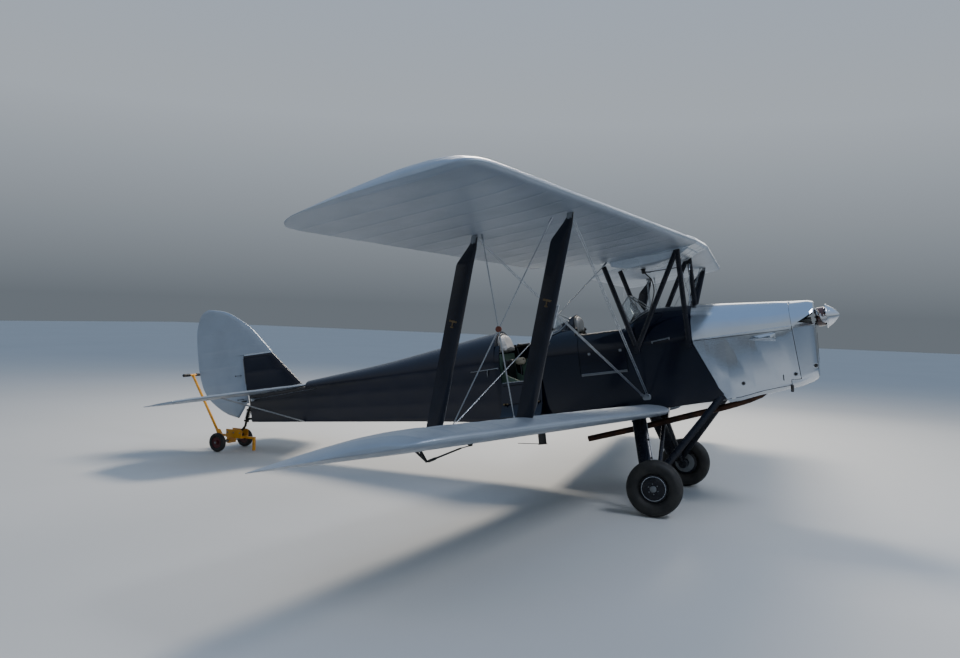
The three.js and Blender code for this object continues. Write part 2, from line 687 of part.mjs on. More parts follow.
const stays = {
  flying_wire_front: join(flyingFront, fittingBlock),
  flying_wire_rear: flyingRear.subtract(block(-512 - seat, -448 + seat, bodyHalfWidth, bodyHalfWidth + 34 + seat,
    -500 - seat, -456 + seat)),
  landing_wire: landing,
  incidence_wires: incidenceWires,
};
for (const [name, stay] of Object.entries(stays)) {
  const body = cut(stay, upperSeatPort, lowerSeatPort, tankSeat);
  place(`${name}_left`, body, 'steel');
  place(`${name}_right`, mirrored(body), 'steel');
}

// Tailplane and elevator
// columns: y, leading edge x, trailing edge x, half thickness
const tailSections = [
  [0, tailLeadX, -5730, tailThick],
  [1000, -4780, -5730, 22],
  [1250, -4880, -5700, 20],
  [1380, -4990, -5630, 16],
  [1445, -5170, -5450, 8],
];
const tailFoil = [[0, 0.12], [0.06, 0.6], [0.25, 1], [0.55, 0.9], [1, 0.1]];

function tailRing([y, lead, trail, half]) {
  const at = ([f, t], side) => {
    const x = lead + (trail - lead) * f;
    return point(x, y, tailZ(x) + side * t * half);
  };
  return [...tailFoil.map((row) => at(row, 1)), ...[...tailFoil].reverse().map((row) => at(row, -1))];
}

const tailHalf = loft(tailSections.map(tailRing));
const tailWhole = join(tailHalf, mirrored(tailHalf));
const elevatorNose = 14;
const tailFrontZone = block(elevatorX + elevatorNose + 6, far, -far, far, -far, far);
const hingeZ = tailZ(elevatorX);
const tailLug = (y) => block(elevatorX + 3, elevatorX + 60, y - 8, y + 8, hingeZ - 8, hingeZ + 8);
const elevatorRod = (radius, sides) => rod(point(elevatorX, -1425, hingeZ), point(elevatorX, 1425, hingeZ),
  radius, sides);
const tailLugs = join(...[-1200, -650, -110, 110, 650, 1200].map(tailLug)).subtract(
  elevatorRod(elevatorNose + 0.5, 24),
);
place('tailplane', join(tailWhole.intersect(tailFrontZone), tailLugs), 'dope');
const elevatorInner = [45, 235];
const elevatorGap = planPlate([
  [elevatorX + 60, -elevatorInner[0]], [elevatorX - 30, -elevatorInner[0]], [-5740, -elevatorInner[1]],
  [-5900, -elevatorInner[1]], [-5900, elevatorInner[1]], [-5740, elevatorInner[1]],
  [elevatorX - 30, elevatorInner[0]], [elevatorX + 60, elevatorInner[0]],
], -far, far);
const elevatorPlain = cut(tailWhole.intersect(block(-far * 3, elevatorX - 13, -far, far, -far, far)), elevatorGap);
place('elevator', join(elevatorPlain, elevatorRod(elevatorNose, 12)), 'dope');

// Tailplane struts, one a side
const tailStrut = cut(
  strut(point(-4520, 95, -390), point(-5060, 850, tailZ(-5060) - 12), 30, 14, [[0, 1], [1, 1]], 8),
  sternBox.add(rearDeck).translate([0, seat * 3, 0]),
  tailHalf.translate([0, 0, -seat]),
);
place('tailplane_strut_left', tailStrut, 'navy');
place('tailplane_strut_right', mirrored(tailStrut), 'navy');

// Fin and rudder
const finRear = rudderX + rudderPin + 6;
const finBase = (x) => tailZ(x) + tailThick + seat;
const finOutline = [[-4549, finBase(-4549)], [-4933, 455], [finRear, 458], [finRear, finBase(finRear)]];
const fin = join(
  leaf(finOutline, [finRear, finBase(finRear)], 0.86, 24, 9),
  cut(join(rudderLug(120), rudderLug(400)), rudderSeat),
);
place('fin', fin, 'navy');
const rudderTopZ = 472;
const rudderMain = [[rudderX - 12, -110], [-5522, -279], [-5685, -215], [-5841, -108], [-5973, 31],
  [-6029, 174], [-6054, 400], [-6050, 560], [-6028, 808], [-5949, 1004], [-5830, 1080], [-5700, 1062],
  [-5563, 1025], [rudderX - 12, 900]];
const rudderHorn = [[-4940, rudderTopZ], [-5060, 619], [-5215, 795], [-5400, 935], [-5563, 1025],
  [-5563, rudderTopZ]];
const rudder = join(
  leaf(rudderMain, [rudderX - 12, 400], 0.82, 24),
  leaf(rudderHorn, [-5563, 640], 0.8, 20),
  rod(point(rudderX, 0, -110), point(rudderX, 0, rudderTopZ + 60), rudderPin, 16),
);
place('rudder', rudder, 'dope');

// Cockpit fittings: seats, windscreens and head pads
function bucketSeat(back) {
  const floor = -345;
  return join(
    block(back, back + 14, -175, 175, floor, 60),
    block(back, back + 380, -175, 175, floor, floor + 14),
    sidePlate([[back, floor], [back + 380, floor], [back + 360, floor + 60], [back + 60, -120], [back, 40]],
      -185, -171),
    sidePlate([[back, floor], [back + 380, floor], [back + 360, floor + 60], [back + 60, -120], [back, 40]],
      171, 185),
  );
}

place('front_seat', bucketSeat(bulkheadX[0] + seat), 'green');
place('rear_seat', bucketSeat(splitX + seat), 'green');

// columns: x of the base, x of the top, height of the top
const screens = [['front', -395, -585, 505], ['rear', -1215, -1375, 435]];
const screenThick = 6;
for (const [name, base, top, height] of screens) {
  const pane = (points) => convex(points.flatMap(([x, y, z]) => [[x, y, z], [x - screenThick, y * 0.985, z]]));
  const middle = pane([[base, -110, 180], [base, 110, 180], [top, -95, height], [top, 95, height]]);
  const side = pane([[base, 109, 180], [base - 180, 215, 180], [top - 60, 165, height - 90],
    [top, 94, height]]);
  const screen = cut(join(middle, side, mirrored(side)), hullSeat, fairing.scale([1, 1.005, 1.003]));
  place(`${name}_windscreen`, screen, 'glass');
}

const headPad = (x, z0, z1, half) => convex([-1, 1].flatMap((side) => [
  [x, side * half, z0], [x + 45, side * half * 0.85, z0], [x, side * half, z0 + (z1 - z0) * 0.6],
  [x + 45, side * half * 0.85, z0 + (z1 - z0) * 0.6], [x, side * half * 0.5, z1],
  [x + 45, side * half * 0.4, z1 - 8],
]));
place('rear_headrest', headPad(splitX + seat, 110, 322, 150), 'leather');
place('front_headrest', cut(headPad(-1160 + seat, 200, 396, 130), hullSeat), 'leather');

// Exhaust pipe under the fuselage
const pipeY = -165;
const pipePath = new THREE.CatmullRomCurve3([
  point(620, pipeY, -500), point(550, pipeY, -552), point(450, pipeY, -590), point(200, pipeY, -645),
  point(-210, pipeY, -707), point(-700, pipeY, -781), point(-1140, pipeY, -838),
], false, 'centripetal');
const pipeSection = new THREE.Shape();
pipeSection.absarc(0, 0, 30, 0, 2 * Math.PI, false);
const pipe = new THREE.ExtrudeGeometry(pipeSection, {
  steps: 16, curveSegments: 5, bevelEnabled: false, extrudePath: pipePath,
});
place('exhaust_pipe', cut(solid(pipe), hullSeat), 'black');

// Main gear: a faired leg, a radius rod and an axle tube each side, meeting at the axle knuckle
const legFoot = point(-487, 640, -1182);
const axleRadius = 20;
const gear = cut(join(
  strut(point(-592, 285, -600), legFoot, 135, 56, [[0, 1], [0.9, 1], [1, 0.7]], 12),
  strut(point(192, 272, -540), point(-448, 640, -1215), 70, 35, [[0, 1], [1, 1]], 10),
  rod(legFoot, point(wheelX, 640, wheelZ), 27, 10),
  rod(point(keelX, 31, keelZ), point(wheelX, 650, wheelZ), 21, 8),
  rod(point(wheelX, 610, wheelZ), point(wheelX, 692, wheelZ), 42, 16),
  rod(point(wheelX, 660, wheelZ), point(wheelX, 848, wheelZ), axleRadius, 16),
), hullSeat, lowerSeatPort, keelBracket.translate([0, seat, 0]));
place('gear_left', gear, 'navy');
place('gear_right', mirrored(gear), 'navy');

// Main wheels
const rimRadius = 124;
const tyreHalf = 85;
const tyreSteps = 12;
const tyreMid = (wheelRadius + rimRadius) / 2;
const tyreProfile = Array.from({ length: tyreSteps }, (_, i) => {
  const angle = Math.PI / 2 - (2 * Math.PI * (i + 0.5)) / tyreSteps;
  const squash = 1 / Math.cos(Math.PI / tyreSteps);
  return [tyreMid + Math.sin(angle) * squash * (wheelRadius - tyreMid), Math.cos(angle) * squash * tyreHalf];
});
const hubProfile = [[axleRadius + 0.5, -52], [62, -52], [108, -40], [rimRadius - seat, -34],
  [rimRadius - seat, 34], [108, 40], [62, 52], [axleRadius + 0.5, 52]];
const wheelSegments = 36;
const tyre = ring(tyreProfile, wheelSegments);
const hub = ring(hubProfile, wheelSegments);
for (const [side, y] of [['left', wheelY], ['right', -wheelY]]) {
  place(`tyre_${side}`, tyre.translate([wheelX, y, wheelZ]), 'black');
  place(`wheel_${side}`, hub.translate([wheelX, y, wheelZ]), 'navy');
}

// Tail skid and its dolly, in the frame of the level floor
const onFloor = (x, y, z) => point(
  x * Math.cos(pitch) - z * Math.sin(pitch),
  y,
  x * Math.sin(pitch) + z * Math.cos(pitch) + longeronHeight,
);
const cradleFloor = 175;
const skidLegTop = onFloor(-5340, 0, -150);
const skidLegEnd = point(-5310, 0, 292);
const skid = join(
  rod(skidLegTop, skidLegEnd, 15, 8),
  rod(skidLegEnd, point(-5395, 0, 200), 15, 8),
  block(-5475, -5345, -22, 22, cradleFloor + seat, cradleFloor + 26),
  rod(onFloor(tailX - 1, 0, -170), onFloor(-5350, 0, -170), 13, 8),
  rod(onFloor(tailX - 1, 0, -300), onFloor(-5400, 0, -300), 13, 8),
);
const sternFace = sternBox.rotate([0, -pitch / degrees, 0]).translate([0, 0, longeronHeight]);
place('tail_skid', cut(skid, sternFace.translate([-seat, 0, 0])), 'black', dolly);

const dollyX = -5512;
const dollyRadius = 112;
const dollyY = 248;
const dollyAxle = 9;
const poleFoot = point(-5700, 0, 162);
const poleHead = point(-6135, 0, 865);
const dollyFrame = join(
  block(-5545, -5310, -62, 62, 150, cradleFloor),
  block(-5545, -5310, -62, -54, 150, 250),
  block(-5545, -5310, 54, 62, 150, 250),
  block(-5712, -5160, -16, 16, 150, 174),
  block(-5186, -5160, -16, 16, 12, 174),
  block(dollyX - 20, dollyX + 20, -62, 62, 80, 155),
  rod(point(dollyX, -215, dollyRadius), point(dollyX, 215, dollyRadius), 13, 10),
  rod(point(dollyX, -285, dollyRadius), point(dollyX, 285, dollyRadius), dollyAxle, 10),
  rod(poleFoot, poleHead, 16, 10),
  rod(point(poleHead.x, -160, poleHead.z), point(poleHead.x, 160, poleHead.z), 14, 10),
);
place('dolly_frame', dollyFrame, 'yellow', dolly);
const dollyProfile = [[dollyAxle + 0.5, -30], [56, -22], [66, -30], [98, -27], [dollyRadius, -13],
  [dollyRadius, 13], [98, 27], [66, 30], [56, 22], [dollyAxle + 0.5, 30]];
const dollyWheel = ring(dollyProfile, 28);
for (const [side, y] of [['left', dollyY], ['right', -dollyY]]) {
  place(`dolly_wheel_${side}`, dollyWheel.translate([dollyX, y, dollyRadius]), 'black', dolly);
}

// The origin is on the floor under the middle of the whole
model.updateMatrixWorld(true);
const bounds = new THREE.Box3().setFromObject(model, true);
model.position.x = -(bounds.min.x + bounds.max.x) / 2;
model.updateMatrixWorld(true);

export default model;
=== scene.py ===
# %% [markdown]
# A two-seat biplane trainer, parked with its tail on a hand dolly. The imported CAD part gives
# the places and sizes. This script gives each piece its real surface: fabric drawn over ribs,
# polished cowling panels, varnished wood, padded leather.

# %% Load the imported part
import json
import math

import bmesh
import bpy
import numpy as np
from mathutils import Matrix, Vector
from mathutils.bvhtree import BVHTree

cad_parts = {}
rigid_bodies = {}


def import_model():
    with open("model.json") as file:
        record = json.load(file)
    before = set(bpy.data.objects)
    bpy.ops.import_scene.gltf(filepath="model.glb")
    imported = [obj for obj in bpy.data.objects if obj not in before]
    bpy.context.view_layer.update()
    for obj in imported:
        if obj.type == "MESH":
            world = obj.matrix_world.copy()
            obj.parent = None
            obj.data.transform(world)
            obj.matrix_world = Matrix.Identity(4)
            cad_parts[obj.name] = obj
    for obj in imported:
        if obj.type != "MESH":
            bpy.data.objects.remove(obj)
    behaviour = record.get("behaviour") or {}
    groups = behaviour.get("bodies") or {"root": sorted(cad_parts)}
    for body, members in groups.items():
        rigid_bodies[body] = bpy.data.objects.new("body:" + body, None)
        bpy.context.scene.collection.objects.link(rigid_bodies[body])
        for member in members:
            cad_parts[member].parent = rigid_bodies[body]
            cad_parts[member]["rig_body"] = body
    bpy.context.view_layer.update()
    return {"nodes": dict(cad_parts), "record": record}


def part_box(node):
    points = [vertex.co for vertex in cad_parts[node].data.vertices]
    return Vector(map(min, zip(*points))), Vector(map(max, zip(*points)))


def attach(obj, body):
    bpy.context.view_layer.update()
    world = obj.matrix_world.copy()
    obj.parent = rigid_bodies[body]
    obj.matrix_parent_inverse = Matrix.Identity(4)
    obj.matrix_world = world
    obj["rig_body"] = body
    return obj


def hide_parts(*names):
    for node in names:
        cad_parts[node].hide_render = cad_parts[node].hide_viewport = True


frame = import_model()
nodes = frame["nodes"]

# %% [markdown]
# Aircraft drawings use their own level frame: x forward from the firewall, y to port, z up
# from the top longeron. The parked aircraft is pitched nose up, so one matrix carries every
# drawing number onto the parked machine. The dolly stands level and needs only the shift.

# %% The aircraft frame
pitch = math.radians(9.306)
longeron_height = 1.55
dolly_x = -5.512
low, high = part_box("dolly_wheel_left")
shift = (low.x + high.x) / 2 - dolly_x
parked = Matrix.Translation((shift, 0, longeron_height)) @ Matrix.Rotation(-pitch, 4, "Y")
on_floor = Matrix.Translation((shift, 0, 0))
PORT, STARBOARD = 1, -1
SIDES = [(PORT, "left"), (STARBOARD, "right")]
print("shift along x:", round(shift, 4))

# %% [markdown]
# A material starts from what the real surface is. A small function adds one node with its
# settings and links, and the recipes below are written with it. Patterns read Object
# coordinates in metres, so a weave or a grain keeps its real size on every piece.

# %% Node and colour helpers
def linear(hex_colour):
    """A screen colour such as 'a0b0c0' as the linear values that shaders use."""
    parts = [int(hex_colour[i:i + 2], 16) / 255 for i in (0, 2, 4)]
    return [c / 12.92 if c <= 0.04045 else ((c + 0.055) / 1.055) ** 2.4 for c in parts] + [1]


def add(tree, kind, inputs=None, **settings):
    """One node. An input is a number, a colour, or the output socket that is linked to it."""
    made = tree.nodes.new(kind)
    for name, value in settings.items():
        setattr(made, name, value)
    for name, value in (inputs or {}).items():
        if isinstance(value, bpy.types.NodeSocket):
            tree.links.new(value, made.inputs[name])
        else:
            made.inputs[name].default_value = value
    return made


def mixed(tree, share, first, second):
    """Colour first where share is 0 and colour second where it is 1."""
    mix = add(tree, "ShaderNodeMix", {0: share, 6: first, 7: second}, data_type="RGBA")
    return mix.outputs[2]


def ramped(tree, value, low_in, high_in, low_out=0.0, high_out=1.0):
    return add(tree, "ShaderNodeMapRange", {"Value": value, "From Min": low_in, "From Max": high_in,
                                            "To Min": low_out, "To Max": high_out}).outputs[0]


print("middle grey as linear values:", [round(c, 3) for c in linear("808080")])

# %% Patches and sums
def noise(tree, place, size, detail=3.0, rough=0.55):
    """Cloudy pattern with lumps of about that size in metres."""
    return add(tree, "ShaderNodeTexNoise", {"Vector": place, "Scale": 1 / size, "Detail": detail,
                                            "Roughness": rough}).outputs[0]


def stretched(tree, place, scale):
    return add(tree, "ShaderNodeMapping", {"Vector": place, "Scale": scale}).outputs[0]


def maths(tree, operation, first, second=0.0):
    return add(tree, "ShaderNodeMath", {0: first, 1: second}, operation=operation).outputs[0]


# %% The recipe of a finish
finishes = {}


def finish(name, colour, rough, relief, worn=None, wear=0.3, patch=0.35, grain=0.004, depth=0.0004,
           spread=0.06, pattern=None, colouring=None, **shader):
    """A worn surface: slow patches of the worn colour, a fine grain, and the relief of a pattern."""
    material = bpy.data.materials.new(name)
    material.use_nodes = True
    tree = material.node_tree
    tree.nodes.clear()
    place = add(tree, "ShaderNodeTexCoord").outputs["Object"]
    patches = ramped(tree, noise(tree, place, patch, 5.0, 0.6), 0.42, 0.68)
    fine = noise(tree, place, grain, 2.0)
    share = maths(tree, "MULTIPLY", patches, wear)
    tint = colouring(tree, place) if colouring else linear(colour)
    base = mixed(tree, share, tint, linear(worn or colour))
    roughness = ramped(tree, maths(tree, "ADD", maths(tree, "MULTIPLY", patches, 0.6), fine), 0.3, 1.3,
                       max(rough - spread, 0.02), rough + spread)
    height = maths(tree, "MULTIPLY", fine, relief)
    if pattern:
        height = maths(tree, "ADD", height, pattern(tree, place))
    bump = add(tree, "ShaderNodeBump", {"Height": height, "Distance": depth, "Strength": 1.0})
    settings = {"Base Color": base, "Roughness": roughness, "Normal": bump.outputs[0]}
    for key, value in shader.items():
        settings[key.replace("_", " ").title().replace("Ior", "IOR")] = value
    made = add(tree, "ShaderNodeBsdfPrincipled", settings)
    add(tree, "ShaderNodeOutputMaterial", {"Surface": made.outputs[0]})
    finishes[name] = material
    return material


# %% [markdown]
# Doped linen is woven, so its relief is two crossed waves. The real thread pitch is under a
# millimetre and would only shimmer at this distance, so the weave is drawn at 3 mm.

# %% Patterns for the surfaces
def weave(tree, place):
    across = add(tree, "ShaderNodeTexWave", {"Vector": place, "Scale": 105.0, "Distortion": 0.6},
                 bands_direction="X").outputs[1]
    along = add(tree, "ShaderNodeTexWave", {"Vector": place, "Scale": 105.0, "Distortion": 0.6},
                bands_direction="Y").outputs[1]
    return maths(tree, "MULTIPLY", maths(tree, "ADD", across, along), 0.4)


def polishing(tree, place):
    """Long fine strokes of the polishing cloth, along the nose."""
    return maths(tree, "MULTIPLY", noise(tree, stretched(tree, place, (0.04, 1, 1)), 0.002, 2.0), 0.6)


def laminated(tree, place):
    """Glued boards of a propeller, seen as bands, with long grain inside each."""
    boards = add(tree, "ShaderNodeTexWave", {"Vector": place, "Scale": 16.0, "Distortion": 1.5},
                 bands_direction="X", wave_profile="SAW").outputs[1]
    grain = noise(tree, stretched(tree, place, (1, 0.06, 1)), 0.004, 4.0)
    share = maths(tree, "ADD", maths(tree, "MULTIPLY", boards, 0.55), maths(tree, "MULTIPLY", grain, 0.5))
    return mixed(tree, share, linear("1d0f0a"), linear("4a2616"))


def pebbled(tree, place):
    """The small cells of leather grain."""
    cells = add(tree, "ShaderNodeTexVoronoi", {"Vector": place, "Scale": 330.0}).outputs[0]
    return maths(tree, "MULTIPLY", cells, 1.2)


def heat_stained(tree, place):
    cloud = noise(tree, place, 0.12, 5.0, 0.65)
    return mixed(tree, ramped(tree, cloud, 0.35, 0.7), linear("17130f"), linear("4b2f20"))


# %% [markdown]
# The finishes, one for each material slot of the part and a few for small fittings. Each
# comment says what the real surface is and what it gives the eye. The numbers of a recipe are
# its roughness and the height of its grain.

# %% Paints and dopes
# Gloss navy enamel on plywood: nearly black, with a clear reflection
finish("navy enamel on plywood", "050918", 0.14, 0.25, worn="0a1022", coat_weight=0.12, coat_roughness=0.06,
       specular_ior_level=0.36, spread=0.04, patch=0.5)
# Gloss navy dope on linen: the same colour, with a trace of weave
finish("navy dope on linen", "060a1b", 0.2, 0.25, worn="0c1326", depth=0.0004, pattern=weave,
       specular_ior_level=0.4, coat_weight=0.1, coat_roughness=0.12)
# Navy enamel on ash struts: dips a little along the grain
finish("navy enamel on ash", "060917", 0.22, 0.5, worn="0f1424", wear=0.4, patch=0.12, depth=0.0003,
       specular_ior_level=0.4, coat_weight=0.1, coat_roughness=0.1)
# Navy enamel on steel tube: chips and road dirt on the gear
finish("navy enamel on steel", "070a16", 0.28, 0.5, worn="1c1d22", wear=0.5, patch=0.08,
       specular_ior_level=0.4)
# Aluminium dope on linen: pale, slightly metallic, soft sheen
finish("silver dope on linen", "98a3af", 0.34, 0.3, worn="7f8891", wear=0.4, patch=0.45, depth=0.0005,
       pattern=weave, metallic=0.45)
# Silver enamel on the tank's sheet metal: smoother than the fabric beside it
finish("silver enamel on sheet metal", "b3bcc4", 0.3, 0.3, worn="98a0a6", metallic=0.3)
print("painted finishes:", len(finishes))

# %% Bare metals
# Hand-polished aluminium panels: mirror-like with fine strokes
finish("polished aluminium sheet", "c6ccd3", 0.11, 0.2, worn="c3c7cd", wear=0.5, patch=0.2, depth=0.0002,
       spread=0.05, pattern=polishing, metallic=1.0)
# Plain aluminium sheet with an oily film: firewall and fittings
finish("dull aluminium sheet", "8b8f92", 0.42, 0.6, worn="5a5a58", wear=0.5, metallic=1.0)
# Spun and polished aluminium of the spinner
finish("spun aluminium", "dde0e4", 0.1, 0.2, worn="c6cad0", metallic=1.0, depth=0.00015)
# Stainless streamlined wire, satin from drawing
finish("drawn stainless steel", "a9adb1", 0.3, 0.3, worn="7f8286", metallic=1.0, depth=0.0001)
# Cast crankcase and finned barrels: black stoving enamel with an oily bloom
finish("stoved black enamel", "121213", 0.38, 0.6, worn="2a2622", wear=0.5, patch=0.07)
# Heat-stained mild steel of the exhaust: brown and blue-black, dry
finish("heat-stained steel", "1c1511", 0.55, 0.8, worn="5a3a26", wear=0.55, patch=0.1, metallic=0.6,
       colouring=heat_stained)
# Turned brass of the plates and pins
finish("turned brass", "6f614b", 0.42, 0.3, worn="45351f", wear=0.6, patch=0.02, metallic=1.0)
print("painted and metal finishes:", len(finishes))

# %% Wood, rubber, leather and the rest
# Varnished mahogany laminations under a hard gloss
finish("varnished mahogany", "2b140c", 0.22, 0.2, worn="38190e", wear=0.3, coat_weight=0.8,
       coat_roughness=0.05, colouring=laminated)
# Clear acrylic sheet: thin, slightly scratched
finish("clear acrylic sheet", "eef3f4", 0.05, 0.1, worn="dfe6e8", transmission_weight=0.92,
       depth=0.00005, spread=0.03)
# Green primer inside the cockpits
finish("cockpit green paint", "51695a", 0.5, 0.5, worn="3c4a40", wear=0.5, patch=0.1)
# Pale grey leather on the head pads: soft, with pores
finish("pale grey leather", "b9b4ad", 0.55, 0.5, worn="8f8a84", wear=0.45, patch=0.08, depth=0.0006,
       pattern=pebbled)
# Cream leather of the door pad and black leather of the coaming rolls
finish("cream leather", "d8cbb2", 0.5, 0.5, worn="b3a284", wear=0.4, patch=0.06, depth=0.0006,
       pattern=pebbled)
finish("black leather", "141312", 0.45, 0.5, worn="2c2926", wear=0.5, patch=0.06, depth=0.0006,
       pattern=pebbled)
# Tyre rubber with dried grass dust
finish("tyre rubber", "151515", 0.7, 0.7, worn="3a3833", wear=0.55, patch=0.09)
# Yellow enamel of the hand dolly, scuffed
finish("yellow enamel", "d9940c", 0.35, 0.4, worn="a06a10", wear=0.5, patch=0.06)
# Dark red enamel of the dolly's hubs
finish("dark red enamel", "4d1012", 0.45, 0.5, worn="2d1210", wear=0.5, patch=0.04)
# Dark olive steel of the skid's mechanism, greasy
finish("greased olive steel", "26271f", 0.42, 0.6, worn="3f3a2c", wear=0.6, patch=0.05, metallic=0.5)
# Sand-cast aluminium of the crankcase and heads: grainy and dull
finish("cast aluminium", "8d8f8d", 0.5, 0.9, worn="5e5a52", wear=0.6, patch=0.06, metallic=0.9, depth=0.0006)
# Black grit paint of the walkways: very rough, with visible grains
finish("walkway grit", "17181a", 0.85, 1.2, worn="2a2b2c", wear=0.6, patch=0.08, depth=0.0009)
# White enamel on thin pipes
finish("white pipe enamel", "c9cdd0", 0.4, 0.3, worn="8f9295", wear=0.5, patch=0.03)
# Red-brown vulcanised fibre of the discs between crossing wires
finish("red fibre", "6d3320", 0.6, 0.4, worn="4f2518")
# White and black paint for dials and small marks
finish("white dial paint", "d9dad2", 0.5, 0.2, worn="bdbdb2")
finish("matt black paint", "0d0d0e", 0.6, 0.4, worn="1f1e1d")
print("finishes:", len(finishes))

# %% [markdown]
# Each material slot of the record is given its finish, on the CAD nodes themselves.

# %% Finishes on the CAD nodes
slot_finish = {
    "navy_fuselage": "navy enamel on plywood", "navy_fabric": "navy dope on linen",
    "navy_strut": "navy enamel on ash", "navy_metal": "navy enamel on steel",
    "silver_dope": "silver dope on linen", "silver_tank": "silver enamel on sheet metal",
    "polished_cowl": "polished aluminium sheet", "firewall": "dull aluminium sheet",
    "engine": "stoved black enamel", "dark_wood": "varnished mahogany", "spinner": "spun aluminium",
    "exhaust": "heat-stained steel", "wire": "drawn stainless steel", "glass": "clear acrylic sheet",
    "seat": "cockpit green paint", "leather": "pale grey leather", "tyre": "tyre rubber",
    "hub": "navy enamel on steel", "dolly_frame": "yellow enamel", "dolly_wheel": "tyre rubber",
    "skid": "greased olive steel",
}
node_slot = {entry["node"]: entry["material_slot"] for entry in frame["record"]["subparts"]}
for name, node in nodes.items():
    made = finishes[slot_finish[node_slot[name]]]
    for index in range(len(node.material_slots)):
        node.material_slots[index].material = made
    if not node.material_slots:
        node.data.materials.append(made)
print("slots used:", sorted(set(node_slot.values())))

# %% [markdown]
# Every new piece goes through one function. It takes points in the aircraft frame, carries
# them onto the parked machine, turns the faces outward, and lets the piece ride on its body.

# %% Piece helpers
X, Y, Z = (1, 0, 0), (0, 1, 0), (0, 0, 1)
DOWN = (0, 0, -1)


def at(x, y, z):
    return Vector((x, y, z))


def solid_mesh(name, points, faces, matrix):
    """A mesh in the frame of the part, with its doubles merged and its faces outward."""
    mesh = bpy.data.meshes.new(name)
    mesh.from_pydata([tuple(p) for p in points], [], [tuple(f) for f in faces])
    mesh.transform(matrix)
    work = bmesh.new()
    work.from_mesh(mesh)
    bmesh.ops.remove_doubles(work, verts=work.verts, dist=1e-5)
    bmesh.ops.recalc_face_normals(work, faces=work.faces)
    work.to_mesh(mesh)
    work.free()
    return mesh


def piece(name, points, faces, look, body="airframe", frame_matrix=None, smooth=35.0, stands_for=()):
    mesh = solid_mesh(name, points, faces, frame_matrix or parked)
    return settle(name, mesh, look, body, smooth, stands_for)


def settle(name, mesh, look, body, smooth=35.0, stands_for=()):
    """The finished mesh as an object on its body, in place of the CAD nodes that it stands for."""
    mesh.shade_smooth()
    mesh.set_sharp_from_angle(angle=math.radians(smooth))
    mesh.materials.clear()
    mesh.materials.append(finishes[look])
    made = bpy.data.objects.new(name, mesh)
    bpy.context.scene.collection.objects.link(made)
    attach(made, body)
    for node in stands_for:
        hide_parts(node)
    return made


# %% Curves through the rows of a table
def smooth_curve(xs, ys):
    """A smooth curve through the points that never swings past them."""
    order = np.argsort(xs)
    xs, ys = np.array(xs, float)[order], np.array(ys, float)[order]
    slope = np.diff(ys) / np.diff(xs)
    middle = np.where(slope[:-1] * slope[1:] > 0,
                      2 * slope[:-1] * slope[1:] / (slope[:-1] + slope[1:] + 1e-12), 0)
    tangent = np.concatenate([slope[:1], middle, slope[-1:]])

    def value(x):
        x = min(max(x, xs[0]), xs[-1])
        i = min(int(np.searchsorted(xs, x, side="right")) - 1, len(slope) - 1)
        step = xs[i + 1] - xs[i]
        t = (x - xs[i]) / step
        return float((1 + 2 * t) * (1 - t) ** 2 * ys[i] + t * (1 - t) ** 2 * step * tangent[i]
                     + t * t * (3 - 2 * t) * ys[i + 1] + t * t * (t - 1) * step * tangent[i + 1])
    return value


def column_curves(rows):
    """A smooth curve for each further column of a table, along its first column."""
    first, *others = zip(*rows)
    return [smooth_curve(first, column) for column in others]


# %% Lofts and joined shapes
def loft(rings):
    """Points and faces of a closed body through rings of equal length, with both ends filled."""
    count = len(rings[0])
    points = [p for ring in rings for p in ring]
    faces = []
    for r in range(len(rings) - 1):
        for i in range(count):
            j = (i + 1) % count
            faces.append((r * count + i, r * count + j, (r + 1) * count + j, (r + 1) * count + i))
    faces.append(tuple(range(count)))
    faces.append(tuple(range((len(rings) - 1) * count, len(rings) * count)))
    return points, faces


def together(*shapes):
    """Several (points, faces) as one."""
    points, faces = [], []
    for some_points, some_faces in shapes:
        start = len(points)
        points.extend(some_points)
        faces.extend([tuple(i + start for i in face) for face in some_faces])
    return points, faces


def to_side(shape, side):
    points, faces = shape
    return [(p[0], p[1] * side, p[2]) for p in points], faces


def joined(name, shapes, look, side=1, **more):
    """One piece out of several shapes, as they are or mirrored to starboard."""
    return piece(name, *to_side(together(*shapes), side), look, **more)


# %% [markdown]
# A wing of this age is a wooden frame covered in linen. The fabric is tight over each rib and
# sags a few millimetres between ribs, most where the surface curves. Narrow tapes cover the
# stitching over each rib. The skin is a loft of aerofoil rings: the rings between two ribs
# sink, and the rings on a rib stand up by the thickness of a tape.

# %% Wing sections
chord = 1.341
incidence = math.radians(4)
sweep = math.tan(math.radians(5.74))
half_span = 4.459
upper_wing = {"x": 0.163, "z": 0.900, "y": 0.333, "slope": math.tan(math.radians(1.45))}
lower_wing = {"x": -0.288, "z": -0.626, "y": 0.305, "slope": math.tan(math.radians(3.48))}
# columns: chord fraction, upper surface, lower surface
aerofoil = [(0, .005, .005), (.02, .028, -.014), (.08, .053, -.022), (.2, .075, -.024), (.35, .078, -.021),
            (.55, .063, -.015), (.8, .032, -.008), (1, .002, -.002)]
# columns: distance in from the tip, leading edge back, trailing edge in, thickness scale
tip_shape = [(0, .130, .700, .42), (.028, .066, .400, .7), (.075, .030, .200, .82), (.150, .010, .080, .92),
             (.250, .002, .020, .98), (.400, 0, 0, 1)]
foil_top, foil_low = column_curves([(math.sqrt(share), top, low) for share, top, low in aerofoil])
tip_rows = [(math.sqrt(inward), *sizes) for inward, *sizes in tip_shape]
tip_back, tip_short, tip_thick = column_curves(tip_rows)
rib_pitch = 0.29
fabric_sag = 0.0045
tape_half, tape_rise = 0.017, 0.0009
tape_edges = (-tape_half - .002, -tape_half + .001, tape_half - .001, tape_half + .002)
print("thickest place of the aerofoil:", round((foil_top(.5) - foil_low(.5)) * chord, 3))

